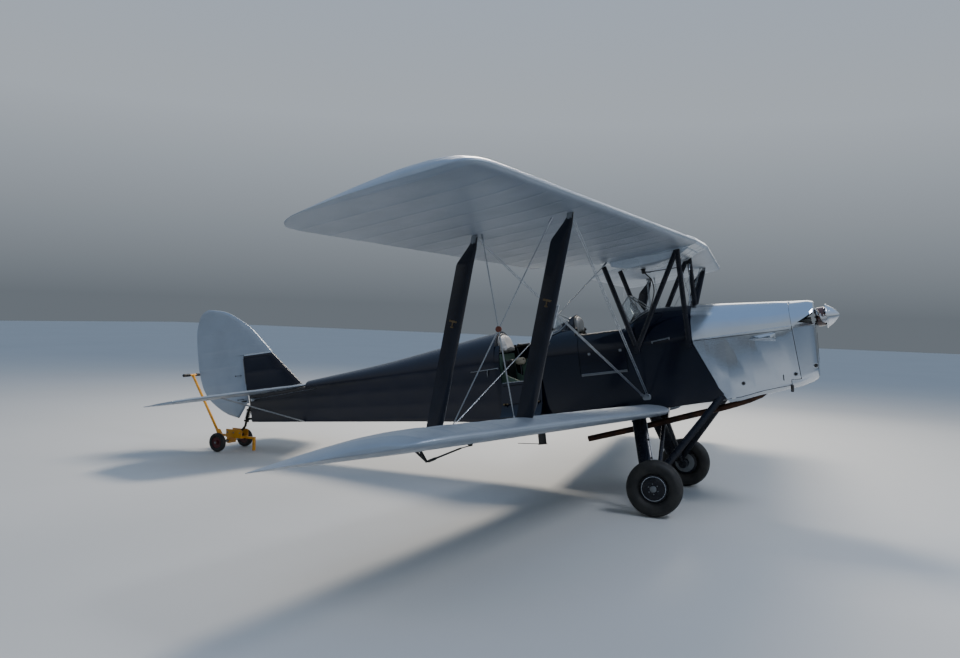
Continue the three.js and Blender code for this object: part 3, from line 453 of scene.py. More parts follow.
# %% Height of the covering
def on_wing(wing, y, aft, height):
    out = y - wing["y"]
    return (wing["x"] - out * sweep - aft * math.cos(incidence) - height * math.sin(incidence), y,
            wing["z"] + out * wing["slope"] - aft * math.sin(incidence) + height * math.cos(incidence))


def section_size(wing, y, cutaway):
    """Leading edge set back, chord left and thickness scale at a place along the span."""
    inward = max(half_span - y, 0)
    edge = min(math.sqrt(inward), tip_rows[-1][0])
    back, short, thick = tip_back(edge), tip_short(edge), tip_thick(edge)
    root_short = cutaway * max(0.0, 1 - (y - wing["y"]) / 0.597)
    return back, chord - back - short - root_short, thick


def skin_height(wing, y, fraction, top, cutaway=0.0):
    """Height of the covering above the chord line, with sag between ribs and tape over ribs."""
    back, full, thick = section_size(wing, y, cutaway)
    edge = math.sqrt(fraction)
    plain = (foil_top(edge) if top else foil_low(edge)) * full * thick
    bay = ((y - wing["y"]) / rib_pitch) % 1.0
    nose_bay = (2 * bay) % 1.0
    behind = min(max((fraction - 0.10) / 0.12, 0), 1)
    ahead = min(max((fraction - 0.015) / 0.05, 0), 1) * (1 - behind)
    fade = min((1 - fraction) / 0.1, 1)
    sag = fabric_sag * fade * (behind * 4 * bay * (1 - bay) + ahead * 0.5 * 4 * nose_bay * (1 - nose_bay))
    from_rib = min(bay, 1 - bay) * rib_pitch
    rise = tape_rise if from_rib < tape_half and fraction > 0.02 else 0.0
    change = rise - sag * (1.0 if top else 0.6)
    return plain + (change if top else -change)


# %% Rings of a wing
def wing_place(wing, y, fraction, top, cutaway=0.0):
    back, full, _ = section_size(wing, y, cutaway)
    return on_wing(wing, y, back + fraction * full, skin_height(wing, y, fraction, top, cutaway))


def fractions(first, last, count):
    """Chord fractions, closer together towards the leading edge."""
    start, end = math.sqrt(first), math.sqrt(last)
    return [(start + (end - start) * i / (count - 1)) ** 2 for i in range(count)]


def spans(wing, start, end):
    """Places along the span: eight to a bay, both edges of each tape, and more near the tip."""
    found = {start, end}
    bays = int((half_span - wing["y"]) / rib_pitch) + 1
    for k in range(bays + 1):
        rib = wing["y"] + k * rib_pitch
        found.update(rib + edge for edge in tape_edges)
        found.update(rib + rib_pitch * (j + 0.5) / 8 for j in range(8))
    near_tip = (.4, .32, .25, .2, .15, .11, .075, .05, .03, .018, .008, .003)
    found.update(half_span - inward for inward in near_tip)
    return sorted(y for y in found if start <= y <= end)


def skin(wing, start, end, aft_end=None, cutaway=0.0, count=30):
    """A closed loft of the covering from start to end, cut off aft at a distance if one is given."""
    rings = []
    for y in spans(wing, start, end):
        back, full, _ = section_size(wing, y, cutaway)
        last = 1.0 if aft_end is None else (aft_end - back) / full
        top = [wing_place(wing, y, f, True, cutaway) for f in reversed(fractions(0, last, count))]
        low = [wing_place(wing, y, f, False, cutaway) for f in fractions(0, last, count)[1:]]
        rings.append(top + low)
    return loft(rings)


print("rings of an upper wing:", len(spans(upper_wing, upper_wing["y"], half_span)))

# %% Wing skins
root_cutaway = 0.4
aileron_from, aileron_to, aileron_chord = 2.040, 4.040, 0.345
hinge_aft = chord - aileron_chord
hinge_height = 0.020
wing_end = hinge_aft - 0.023
for side, word in SIDES:
    top_skin = skin(upper_wing, upper_wing["y"] + 0.0005, half_span, cutaway=root_cutaway)
    piece(f"upper_wing_skin_{word}", *to_side(top_skin, side), "silver dope on linen",
          stands_for=[f"upper_wing_{word}"])
    low_skin = together(
        skin(lower_wing, lower_wing["y"] + 0.0005, aileron_from - 0.006),
        skin(lower_wing, aileron_from - 0.006, aileron_to + 0.006, aft_end=wing_end),
        skin(lower_wing, aileron_to + 0.006, half_span),
    )
    piece(f"lower_wing_skin_{word}", *to_side(low_skin, side), "silver dope on linen",
          stands_for=[f"lower_wing_{word}"])
print("wing skins made")

# %% [markdown]
# The aileron is the rear of the same aerofoil, with a round nose about its hinge, so that the
# gap to the wing stays even while it turns.

# %% Ailerons
nose_radius = 0.017


def aileron_ring(y, count=16):
    back, full, _ = section_size(lower_wing, y, 0)
    start = (hinge_aft + 0.004 - back) / full
    top = [wing_place(lower_wing, y, f, True) for f in reversed(fractions(start, 1, count))]
    low = [wing_place(lower_wing, y, f, False) for f in fractions(start, 1, count)]
    nose = []
    for i in range(1, 8):
        angle = math.pi * (0.5 + i / 8)
        nose.append(on_wing(lower_wing, y, hinge_aft + math.cos(angle) * nose_radius,
                            hinge_height + math.sin(angle) * nose_radius))
    return top + nose + low


for side, word in SIDES:
    rings = [aileron_ring(y) for y in spans(lower_wing, aileron_from, aileron_to)]
    piece(f"aileron_skin_{word}", *to_side(loft(rings), side), "silver dope on linen",
          body=f"aileron_unit_{word}", stands_for=[f"aileron_{word}"])
print("rings of an aileron:", len(rings))

# %% [markdown]
# The CAD solids are exact but their corners are razor sharp and their flat faces are cut into
# triangles. A copy is welded, its flat facets joined, and its hard edges rounded by a
# millimetre or two, because a real folded or machined edge always catches a thin light line.

# %% Soft normals and the rolled belly
def evaluated_mesh(made):
    """A plain mesh of the object as its modifiers leave it."""
    graph = bpy.context.evaluated_depsgraph_get()
    return bpy.data.meshes.new_from_object(made.evaluated_get(graph))


def weighted(made):
    """Normals that follow the large faces, so that the rounded edges carry the shading change."""
    made.modifiers.new("weighted", "WEIGHTED_NORMAL").keep_sharp = True
    mesh = evaluated_mesh(made)
    made.modifiers.clear()
    plain = made.data
    made.data = mesh
    bpy.data.meshes.remove(plain)
    return made


# columns: distance ahead of the firewall, rise of the belly
belly_rows = [(-.025, .040), (0, .036), (.05, .008), (.12, -.012), (.20, -.026), (.36, -.026), (.50, -.010),
              (.66, 0)]
[belly_drop] = column_curves(belly_rows)


def cowl_belly(mesh_points):
    """The lower rear corner of the cowling is rolled: it rises at the firewall and hangs ahead of it."""
    to_level = parked.inverted()
    for vertex in mesh_points:
        place = to_level @ vertex.co
        share = min(max((-.36 - place.z) / .17, 0), 1)
        if share and place.x > -.0245:
            place.z += belly_drop(place.x) * share * share * (3 - 2 * share)
            vertex.co = parked @ place


print("belly hangs lowest by:", min(drop for _, drop in belly_rows))

# %% The beaten side panels
surfaces = {}
panel_bulge = 0.011


def sliced(work, axis, places):
    """New edges where planes across an axis of the aircraft cut the mesh, so that it can bend there."""
    facing = Vector([1.0 if i == axis else 0.0 for i in range(3)])
    for place in places:
        geometry = work.verts[:] + work.edges[:] + work.faces[:]
        bmesh.ops.bisect_plane(work, geom=geometry, plane_co=parked @ (facing * place),
                               plane_no=parked.to_3x3() @ facing)


def bulged(mesh_points):
    """The hinged side panel is beaten to a slow curve: fullest low down aft and high up in front."""
    to_level = parked.inverted()
    for vertex in mesh_points:
        place = to_level @ vertex.co
        depth = max(-place.z, 0)
        back_edge = .007 + .46 * max(depth - .035, 0)
        along = min(max((place.x - back_edge) / (.868 - .05 * place.z - back_edge), 0), 1)
        down = min(depth / (.541 - .175 * max(place.x - .24, 0)), 1)
        fullest = .74 - .40 * along
        arch = math.sin(math.pi * down ** (math.log(.5) / math.log(fullest)))
        near_end = min(along / .16, (1 - along) / .10, 1)
        place.y += math.copysign(panel_bulge * arch * near_end * near_end * (3 - 2 * near_end), place.y)
        vertex.co = parked @ place


# %% Softened copies of CAD nodes
def softened(name, edge=0.0015, look=None, smooth=38.0):
    work = bmesh.new()
    work.from_mesh(nodes[name].data)
    bmesh.ops.remove_doubles(work, verts=work.verts, dist=2e-5)
    if name.startswith("cowl"):
        sliced(work, 0, (.03, .06, .10, .15, .20, .28, .36, .45, .55))
        sliced(work, 2, (-.36, -.42, -.48))
        cowl_belly(work.verts)
    bmesh.ops.dissolve_limit(work, angle_limit=math.radians(0.8), verts=work.verts, edges=work.edges)
    bmesh.ops.recalc_face_normals(work, faces=work.faces)
    hard = [e for e in work.edges if e.is_manifold and e.calc_face_angle(0) > math.radians(smooth)]
    if edge:
        bmesh.ops.bevel(work, geom=hard, offset=edge, segments=2, profile=0.5, affect="EDGES",
                        clamp_overlap=True)
    if name.startswith("cowl_side"):
        sliced(work, 0, [.05 + .045 * i for i in range(19)])
        sliced(work, 2, [-.03 - .035 * i for i in range(15)])
        bulged(work.verts)
    mesh = bpy.data.meshes.new(name + "_surface")
    work.to_mesh(mesh)
    work.free()
    for attribute in [a for a in mesh.attributes if a.name == "custom_normal"]:
        mesh.attributes.remove(attribute)
    finish_name = look or slot_finish[node_slot[name]]
    made = settle(name + "_surface", mesh, finish_name, nodes[name]["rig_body"], smooth, [name])
    surfaces[name] = weighted(made).data


# columns: node, edge radius
soft_nodes = [
    ("front_fuselage", 0.002), ("firewall", 0.0), ("cowl_top", 0.0012), ("cowl_bottom", 0.0012),
    ("cowl_nose", 0.0025), ("cowl_side_left", 0.0012), ("cowl_side_right", 0.0015), ("fuel_tank", 0.006),
    ("front_door_left", 0.0015), ("front_door_right", 0.0015), ("rear_door_left", 0.0015),
    ("rear_door_right", 0.0015), ("gear_left", 0.002), ("gear_right", 0.002), ("cabane_left", 0.002),
    ("cabane_right", 0.002), ("dolly_frame", 0.002), ("tail_skid", 0.002), ("front_windscreen", 0.0006),
    ("rear_windscreen", 0.0006), ("front_seat", 0.003), ("rear_seat", 0.003), ("exhaust_pipe", 0.0),
    ("tailplane_strut_left", 0.0015), ("tailplane_strut_right", 0.0015),
]
for name, edge in soft_nodes:
    bare = "drawn stainless steel" if name.startswith("tailplane_strut") else None
    softened(name, edge, bare, 24 if name == "front_fuselage" else 38)
print("softened copies:", len(soft_nodes))

# %% [markdown]
# Two Geometry Nodes trees make everything that repeats or follows a path. One turns guide
# lines into tubes. The other walks along guide lines and sets a small domed head at each
# step, facing the way that is stored on the line: rivets and screws.

# %% The tree of tubes
def new_tree(name, sockets):
    tree = bpy.data.node_groups.new(name, "GeometryNodeTree")
    tree.interface.new_socket("Geometry", in_out="INPUT", socket_type="NodeSocketGeometry")
    found = {}
    for label, kind in sockets:
        found[label] = tree.interface.new_socket(label, in_out="INPUT", socket_type=kind).identifier
    tree.interface.new_socket("Geometry", in_out="OUTPUT", socket_type="NodeSocketGeometry")
    return tree, found, add(tree, "NodeGroupInput").outputs


tube_tree, tube_inputs, given = new_tree("tubes along lines", [
    ("Radius", "NodeSocketFloat"), ("Step", "NodeSocketFloat"), ("Sides", "NodeSocketInt"),
    ("Material", "NodeSocketMaterial")])
curve = add(tube_tree, "GeometryNodeMeshToCurve", {"Mesh": given["Geometry"]})
bent = add(tube_tree, "GeometryNodeCurveSplineType", {"Curve": curve.outputs[0]}, spline_type="CATMULL_ROM")
even = add(tube_tree, "GeometryNodeResampleCurve", {"Curve": bent.outputs[0], "Length": given["Step"]},
           mode="LENGTH")
circle = add(tube_tree, "GeometryNodeCurvePrimitiveCircle",
             {"Resolution": given["Sides"], "Radius": given["Radius"]})
swept = add(tube_tree, "GeometryNodeCurveToMesh",
            {"Curve": even.outputs[0], "Profile Curve": circle.outputs[0], "Fill Caps": True})
real = add(tube_tree, "GeometryNodeRealizeInstances", {"Geometry": swept.outputs[0]})
painted = add(tube_tree, "GeometryNodeSetMaterial",
              {"Geometry": real.outputs[0], "Material": given["Material"]})
add(tube_tree, "NodeGroupOutput", {"Geometry": painted.outputs[0]})
print("nodes in the tree of tubes:", len(tube_tree.nodes))

# %% The tree of heads
head_tree, head_inputs, given = new_tree("heads along lines", [
    ("Spacing", "NodeSocketFloat"), ("Radius", "NodeSocketFloat"), ("Rise", "NodeSocketFloat"),
    ("Material", "NodeSocketMaterial")])
curve = add(head_tree, "GeometryNodeMeshToCurve", {"Mesh": given["Geometry"]})
even = add(head_tree, "GeometryNodeResampleCurve", {"Curve": curve.outputs[0], "Length": given["Spacing"]},
           mode="LENGTH")
low_head = add(head_tree, "GeometryNodeMeshCone", {"Vertices": 8, "Radius Bottom": given["Radius"],
                                                   "Depth": given["Rise"]}, fill_type="NGON")
narrow = add(head_tree, "ShaderNodeMath", {0: given["Radius"], 1: 0.6}, operation="MULTIPLY")
head_tree.links.new(narrow.outputs[0], low_head.inputs["Radius Top"])
facing = add(head_tree, "GeometryNodeInputNamedAttribute", {"Name": "facing"}, data_type="FLOAT_VECTOR")
aligned = add(head_tree, "FunctionNodeAlignRotationToVector", {"Vector": facing.outputs[0]}, axis="Z")
copies = add(head_tree, "GeometryNodeInstanceOnPoints",
             {"Points": even.outputs[0], "Instance": low_head.outputs[0], "Rotation": aligned.outputs[0]})
real = add(head_tree, "GeometryNodeRealizeInstances", {"Geometry": copies.outputs[0]})
painted = add(head_tree, "GeometryNodeSetMaterial",
              {"Geometry": real.outputs[0], "Material": given["Material"]})
add(head_tree, "NodeGroupOutput", {"Geometry": painted.outputs[0]})
print("nodes in the tree of heads:", len(head_tree.nodes))

# %% Meshes grown on lines
def grown(name, lines, tree, settings, look, body, smooth, matrix, facings=None):
    """Runs a tree over guide lines and keeps the mesh that comes out."""
    points = [p for line in lines for p in line]
    edges, start = [], 0
    for line in lines:
        edges.extend((start + i, start + i + 1) for i in range(len(line) - 1))
        start += len(line)
    guide_mesh = bpy.data.meshes.new(name + "_guide")
    guide_mesh.from_pydata([tuple(p) for p in points], edges, [])
    if facings:
        turn = matrix.to_3x3()
        ways = [c for line in facings for way in line for c in (turn @ Vector(way))]
        guide_mesh.attributes.new("facing", "FLOAT_VECTOR", "POINT").data.foreach_set("vector", ways)
    guide_mesh.transform(matrix)
    guide = bpy.data.objects.new(name + "_guide", guide_mesh)
    bpy.context.scene.collection.objects.link(guide)
    modifier = guide.modifiers.new("tree", "NODES")
    modifier.node_group = tree
    for key, value in settings.items():
        modifier[key] = value
    mesh = evaluated_mesh(guide)
    bpy.data.objects.remove(guide)
    bpy.data.meshes.remove(guide_mesh)
    for attribute in [a for a in mesh.attributes if a.name == "facing"]:
        mesh.attributes.remove(attribute)
    return settle(name, mesh, look, body, smooth)


def tubes(name, lines, radius, look, body="airframe", step=0.02, sides=12, matrix=None):
    settings = {tube_inputs["Radius"]: radius, tube_inputs["Step"]: step, tube_inputs["Sides"]: sides,
                tube_inputs["Material"]: finishes[look]}
    return grown(name, lines, tube_tree, settings, look, body, 50, matrix or parked)


def heads(name, lines, facings, spacing, radius, rise, look, body="airframe"):
    settings = {head_inputs["Spacing"]: spacing, head_inputs["Radius"]: radius, head_inputs["Rise"]: rise,
                head_inputs["Material"]: finishes[look]}
    return grown(name, lines, head_tree, settings, look, body, 60, parked, facings)


# %% [markdown]
# Small parts sit on the skin, so their places are found by casting a ray at the CAD node in
# the aircraft frame. That gives the point and the way the surface faces.

# %% Points on the surface
level = parked.inverted()
trees = {}


def cast_ready(name):
    if name not in trees:
        mesh = surfaces[name] if name.startswith("cowl_side") else nodes[name].data
        trees[name] = BVHTree.FromPolygons([level @ v.co for v in mesh.vertices],
                                           [tuple(p.vertices) for p in mesh.polygons])


def cast(name, start, way):
    cast_ready(name)
    place, normal, _, _ = trees[name].ray_cast(Vector(start), Vector(way).normalized())
    if place is None:
        raise ValueError(f"nothing of {name} is met from {start}")
    if normal.dot(Vector(way)) > 0:
        normal = -normal
    return place, normal


def cast_line(name, starts, way, lift=0.0):
    """The line that the starts meet on a node, and the way it faces at each."""
    hits = [cast(name, start, way) for start in starts]
    return [p + n * lift for p, n in hits], [n for _, n in hits]


def between(first, last, count):
    return [Vector(first).lerp(Vector(last), i / (count - 1)) for i in range(count)]


print("top of the tank:", round(cast("fuel_tank", (-.20, 0, 1.4), DOWN)[0].z, 3))

# %% Plates and lathe shapes
def slab(centre, along, across, size, round_corner=0.15):
    """A thin plate at a point, with clipped corners: its length, width and thickness."""
    along = Vector(along).normalized()
    up = along.cross(Vector(across)).normalized()
    across = up.cross(along).normalized()
    long, wide, thick = size
    cut_off = min(long, wide) * round_corner
    quarter = [(long / 2, wide / 2 - cut_off), (long / 2 - cut_off, wide / 2)]
    half = quarter + [(-a, b) for a, b in reversed(quarter)]
    outline = half + [(-a, -b) for a, b in half]
    bands = [(-0.5, 1.0), (0.3, 1.0), (0.5, 1 - min(0.5, thick / min(long, wide)))]
    return loft([[Vector(centre) + along * a * s + across * b * s + up * thick * h for a, b in outline]
                 for h, s in bands])


def turned(profile, centre, axis=Y, segments=24):
    """A body turned on a lathe from rows of distance along the axis and radius. Ends are closed."""
    axis = Vector(axis).normalized()
    side = axis.orthogonal().normalized()
    third = axis.cross(side)
    rings = []
    for along, radius in profile:
        middle = Vector(centre) + axis * along
        rings.append([middle + (side * math.cos(math.tau * i / segments)
                                + third * math.sin(math.tau * i / segments)) * max(radius, 1e-4)
                      for i in range(segments)])
    return loft(rings)


# %% [markdown]
# The rear fuselage is linen over thin stringers, with a frame every forty centimetres. Each
# panel of cloth between stringers and frames sinks by about three millimetres, which breaks
# up the long reflections on the gloss paint.

# %% Sections of the rear fuselage
split_x, tail_x, tail_lead_x = -1.990, -5.318, -4.450
split_half, stern_half = 0.305, 0.025
tail_slope = math.tan(math.radians(1.8))


def tail_z(x):
    return 0.025 + (x - tail_lead_x) * tail_slope


def half_width(x):
    return split_half + (stern_half - split_half) * (split_x - x) / (split_x - tail_x)


# columns: x, bottom, crown
rear_rows = [(-1.9904, -.598, .335), (-2.790, -.526, .232), (-3.440, -.478, .153), (-4.450, -.404, .068)]
rear_bottom, rear_crown = column_curves(rear_rows)
frame_pitch, cloth_sag, side_bays = 0.41, 0.0032, 3


def bay_sag(share):
    share = share % 1.0
    return 4 * share * (1 - share)


def body_ring(x, half, bottom, crown, radius=0.014, arch=28, side=19, under=9):
    along = bay_sag((split_x - x) / frame_pitch) ** 0.5
    ring = []
    for i in range(arch + 1):
        angle = math.pi * i / arch
        ring.append((x, half * math.cos(angle), crown * math.sin(angle)))
    low_side = bottom + radius
    sides = [(i + 1) / side for i in range(side)]
    sunk = [cloth_sag * along * bay_sag(t * side_bays * 0.999) ** 0.5 for t in sides]
    ring += [(x, -(half - d), low_side * t) for t, d in zip(sides, sunk)]
    ring.append((x, -(half - radius * 0.3), bottom + radius * 0.3))
    reach = half - radius
    ring += [(x, -reach + 2 * reach * i / (under - 1), bottom + cloth_sag * along * bay_sag(i / (under - 1)))
             for i in range(under)]
    ring.append((x, half - radius * 0.3, bottom + radius * 0.3))
    ring += [(x, half - d, low_side * t) for t, d in reversed(list(zip(sides, sunk)))]
    return ring


def steps(start, end, count):
    return [start + (end - start) * i / (count - 1) for i in range(count)]


# %% The skin of the rear fuselage
stations = steps(-1.9904, tail_lead_x, 61)
deck = loft([body_ring(x, half_width(x), rear_bottom(x), rear_crown(x)) for x in stations])
stern_rings = []
for x in steps(tail_lead_x + 0.002, tail_x, 9):
    share = (tail_lead_x - x) / (tail_lead_x - tail_x)
    top = share * (tail_z(tail_x) - 0.023)
    stern_rings.append([(p[0], p[1], p[2] + top * (1 if p[2] > -0.001 else 0))
                        for p in body_ring(x, half_width(x), -0.404 + 0.063 * share, 0.002)])
stern = loft(stern_rings)
strake_edge = [(-3.43, half_width(-3.43) - .004), (-3.9, .192), (-4.3, .204), (-4.449, .200)]
strakes = []
for side in (PORT, STARBOARD):
    strakes.append(loft([[(x, side * (half_width(x) - .02), z) for z in (-.003, .003)]
                         + [(x, side * y, .0015), (x, side * y, -.0015)] for x, y in strake_edge]))
fin_post = loft([[(x, y, z) for x, y in ((tail_x, -.016), (tail_x, .016), (-5.245, .016), (-5.245, -.016))]
                 for z in (-.04, tail_z(tail_x) + .023)])
piece("rear_fuselage_skin", *together(deck, stern, fin_post, *strakes), "navy dope on linen",
      stands_for=["rear_fuselage"])
print("rear fuselage made")

# %% [markdown]
# The tail surfaces are steel-tube frames under linen: thin, with round edges and light ribs
# that show as low ridges. Each surface is a loft of flat rings across its span or height.

# %% Sections of the tailplane
# columns: y, leading edge, trailing edge, half thickness
tail_rows = [(0, -4.450, -5.730, .023), (1.000, -4.780, -5.730, .022), (1.250, -4.880, -5.700, .020),
             (1.380, -4.990, -5.630, .016), (1.430, -5.110, -5.520, .011), (1.446, -5.172, -5.450, .007)]
tail_lead, tail_trail, tail_half = column_curves(tail_rows)
tail_foil = smooth_curve([0, .06, .25, .55, 1], [.16, .62, 1, .9, .16])
elevator_x, hinge_radius = -5.190, 0.014
tail_rib, ridge, tail_sag = 0.21, 0.0012, 0.0022


def ribbed(across):
    """Height of the cover at a place across ribs: a ridge on a rib, sunk between ribs."""
    share = (across / tail_rib) % 1.0
    near = min(share, 1 - share) * tail_rib
    return (ridge if near < 0.011 else 0.0) - tail_sag * 4 * share * (1 - share)


def across_ribs(start, end):
    found = {start, end}
    for k in range(int(end / tail_rib) + 2):
        found.update(k * tail_rib + d for d in (-.013, -.010, .010, .013, .05, .105, .16))
    return sorted(v for v in found if start <= v <= end)


def tail_ring(y, front, rear, count=14, nose=False):
    lead, trail = tail_lead(y), tail_trail(y)
    xs = [front + (rear - front) * i / (count - 1) for i in range(count)]

    def height(x):
        share = min(max((lead - x) / (lead - trail), 0), 1)
        fade = min(share, 1 - share, 0.15) / 0.15
        return tail_half(y) * tail_foil(share) + ribbed(abs(y)) * fade
    top = [(x, y, tail_z(x) + height(x)) for x in xs]
    low = [(x, y, tail_z(x) - height(x)) for x in reversed(xs)]
    if not nose:
        return top + low
    round_nose = []
    for i in range(1, 8):
        angle = -math.pi / 2 + math.pi * i / 8
        round_nose.append((elevator_x + math.cos(angle) * hinge_radius, y,
                           tail_z(elevator_x) + math.sin(angle) * hinge_radius))
    return top + low + round_nose


print("tailplane and elevator chord:", round(tail_lead(0) - tail_trail(0), 3))

# %% The skin of the tailplane
span_rows = across_ribs(0.0, 1.38) + [1.40, 1.415, 1.43, 1.44, 1.446]
front_edge = elevator_x + hinge_radius + 0.006
half_rings = [tail_ring(y, max(tail_lead(y), front_edge + 0.002), front_edge) for y in span_rows]
far_rings = [[(x, -y, z) for x, y, z in ring] for ring in reversed(half_rings[1:])]
piece("tailplane_skin", *loft(far_rings + half_rings), "silver dope on linen", stands_for=["tailplane"])
print("tailplane rings:", len(far_rings) + len(half_rings))


# %% The skin of the elevator
def elevator_half(side):
    rings = []
    for y in across_ribs(0.045, 1.38) + [1.40, 1.415, 1.424]:
        ring = tail_ring(y, elevator_x, tail_trail(y), nose=True)
        inner = [0.045 + 0.19 * max(0, min(1, (elevator_x - 0.03 - p[0]) / 0.52)) for p in ring]
        rings.append([(p[0], side * max(p[1], least), p[2]) for p, least in zip(ring, inner)])
    return loft(rings)


torque_tube = turned([(-.05, .0135), (.05, .0135)], (elevator_x, 0, tail_z(elevator_x)), segments=16)
joined("elevator_skin", [elevator_half(1), elevator_half(-1), torque_tube], "silver dope on linen",
       body="elevator_unit", stands_for=["elevator"])
print("elevator made")

# %% Fin
rudder_x, rudder_pin = -5.366, 0.015
fin_rear = rudder_x + rudder_pin + 0.006
fin_foot, fin_top = tail_z(-4.9) + 0.0235, 0.455
fin_front_low, fin_front_high = -4.549, -4.933


def flat_ring(front, rear, z, half, profile, ridge_height, count=16):
    xs = [front + (rear - front) * (i / (count - 1)) ** 1.3 for i in range(count)]
    shares = [(front - x) / (front - rear + 1e-6) for x in xs]
    ys = [max(half * profile(s) + ridge_height * min(s, 1 - s, .1) * 10, 0.002) for s in shares]
    return [(x, y, z) for x, y in zip(xs, ys)] + [(x, -y, z) for x, y in reversed(list(zip(xs, ys)))]


fin_profile = smooth_curve([0, .05, .3, 1], [.4, .7, 1, .92])
fin_rings = []
for z in steps(fin_foot - 0.012, 0.458, 22):
    front = fin_front_low + (fin_front_high - fin_front_low) * (z - fin_foot) / (fin_top - fin_foot)
    foot = [max(p[2], tail_z(p[0]) + 0.0235) for p in flat_ring(front, fin_rear, z, .024, fin_profile, 0)]
    cover = ribbed(z - 0.05) if z < 0.43 else 0
    thin = 1 if z < 0.445 else 0.72
    ring = flat_ring(front, fin_rear, z, .024 * thin, fin_profile, cover)
    fin_rings.append([(p[0], p[1], q) for p, q in zip(ring, foot)])
piece("fin_skin", *loft(fin_rings), "navy dope on linen", stands_for=["fin"])
print("fin rings:", len(fin_rings))

# %% The outline of the rudder
# columns: z, rear edge
rudder_back = [(-.279, -5.522), (-.215, -5.685), (-.108, -5.841), (.031, -5.973), (.174, -6.029),
               (.400, -6.054), (.560, -6.050), (.808, -6.028), (1.004, -5.949), (1.062, -5.880),
               (1.080, -5.820)]
# columns: z, front edge of the horn that stands above the fin
horn_front = [(.472, -4.940), (.619, -5.060), (.795, -5.215), (.935, -5.400), (1.025, -5.563),
              (1.062, -5.700), (1.080, -5.800)]
[rear_edge] = column_curves(rudder_back)
[horn_edge] = column_curves(horn_front)
rudder_profile = smooth_curve([0, .04, .12, .35, .8, 1], [.25, .6, .9, 1, .5, .16])


def rudder_ring(z, front):
    cover = ribbed(z + 0.28)
    edge = min(1.0, 0.3 + (1.082 - z) / 0.05, 0.35 + (z + .281) / 0.05)
    return flat_ring(front, rear_edge(z), z, .024 * edge, rudder_profile, cover * 0.8, count=22)


print("rudder chord at mid height:", round(rudder_x - rear_edge(.4), 3))

# %% The skin of the rudder
beside_ribs = [k * tail_rib - .28 + d for k in range(1, 4) for d in (-.012, .012)]
low_rings = []
for z in sorted(set(steps(-.279, .472, 60) + beside_ribs)):
    front = rudder_x - 0.012
    if z < -.110:
        front = -5.522 + (z + .279) / .169 * (rudder_x - 0.012 + 5.522)
    low_rings.append(rudder_ring(z, front))
high_rings = [rudder_ring(z, horn_edge(z)) for z in steps(.472, 1.080, 52)]
post = turned([(-.110, rudder_pin), (.530, rudder_pin)], (rudder_x, 0, 0), Z, 20)
joined("rudder_skin", [loft(low_rings), loft(high_rings), post], "silver dope on linen",
       body="rudder_unit", stands_for=["rudder"])
print("tail surfaces made")

# %% [markdown]
# The struts between the wings are ash, shaped like a long drop of water so that they part the
# air. Near the head the rear edge is cut away to a narrow tongue that enters the steel fitting
# under the spar. Each ring of the loft is the drop section between its own front and rear edge.

# %% Interplane struts
strut_y, front_spar, rear_spar, foot_aft = 2.859, 0.194, 0.902, 0.029
strut_chord, strut_thick = 0.128, 0.046
# columns: share of the length, front edge, rear edge, thickness, as shares of the whole size
strut_edges = [(0, .34, -.5, .62), (.05, .42, -.5, .8), (.11, .5, -.5, 1), (.3, .5, -.5, 1),
               (.5, .5, -.5, 1), (.7, .5, -.5, 1), (.845, .5, -.5, 1), (.86, .5, -.46, 1),
               (.94, .5, 0, .9), (.985, .44, .2, .72), (1, .42, .22, .7)]


def drop_section(count=28):
    """Shares of chord and half thickness round a drop: from the nose over the top and back."""
    rows = []
    for i in range(count):
        angle = math.tau * (i + 0.5) / count
        s = (1 - math.cos(angle)) / 2
        half = 5 * (.2969 * math.sqrt(s) - .1260 * s - .3516 * s ** 2 + .2843 * s ** 3 - .1015 * s ** 4) * 2
        rows.append((s, math.copysign(max(half, .07), math.sin(angle))))
    return rows


def drop_strut(start, end, chord_size, thick, edges=((0, .5, -.5, 1), (1, .5, -.5, 1)), ahead=X):
    start, end = Vector(start), Vector(end)
    axis = (end - start).normalized()
    aside = axis.cross(Vector(ahead)).normalized()
    fore = aside.cross(axis)
    rings = []
    for share, front, rear, fat in edges:
        middle = start.lerp(end, share)
        rings.append([middle + fore * chord_size * (front + (rear - front) * s) + aside * thick / 2 * fat * h
                      for s, h in drop_section()])
    return loft(rings)


# %% Struts and their brass plates
def brass_plates(foot, head):
    """The blank brass plate above mid height, square to the strut: a bar, a tongue and a toe."""
    middle = Vector(foot).lerp(Vector(head), 0.586)
    axis = (Vector(head) - Vector(foot)).normalized()
    across = axis.cross(Vector(Y))
    face = middle + at(0, strut_thick / 2 + .0004, 0)
    bar = slab(face, across, axis, (.060, .014, .0016), 0.1)
    tongue = slab(face - axis * .022, axis, across, (.034, .009, .0014), 0.2)
    toe = slab(face - axis * .041, across, axis, (.024, .010, .0014), 0.2)
    return [bar, tongue, toe]


strut_places = {}
for row, aft in (("front", front_spar), ("rear", rear_spar)):
    foot = Vector(on_wing(lower_wing, strut_y, aft + foot_aft, 0.030))
    head = Vector(on_wing(upper_wing, strut_y, aft, 0.002))
    strut_places[row] = (foot, head)
    for side, word in SIDES:
        shape = to_side(drop_strut(foot, head, strut_chord, strut_thick, strut_edges), side)
        piece(f"{row}_strut_{word}", *shape, "navy enamel on ash",
              stands_for=[f"interplane_strut_{row}_{word}"])
plates = [to_side(shape, side) for side, _ in SIDES for foot, head in strut_places.values()
          for shape in brass_plates(foot, head)]
joined("strut_plates", plates, "turned brass")
print("strut length:", round((head - foot).length, 3), "plate shapes:", len(plates))

# %% [markdown]
# Each strut ends in a steel socket: two cheek plates on a foot plate, with a bolt through.
# The same few shapes serve all eight ends, so they come from one table of places.

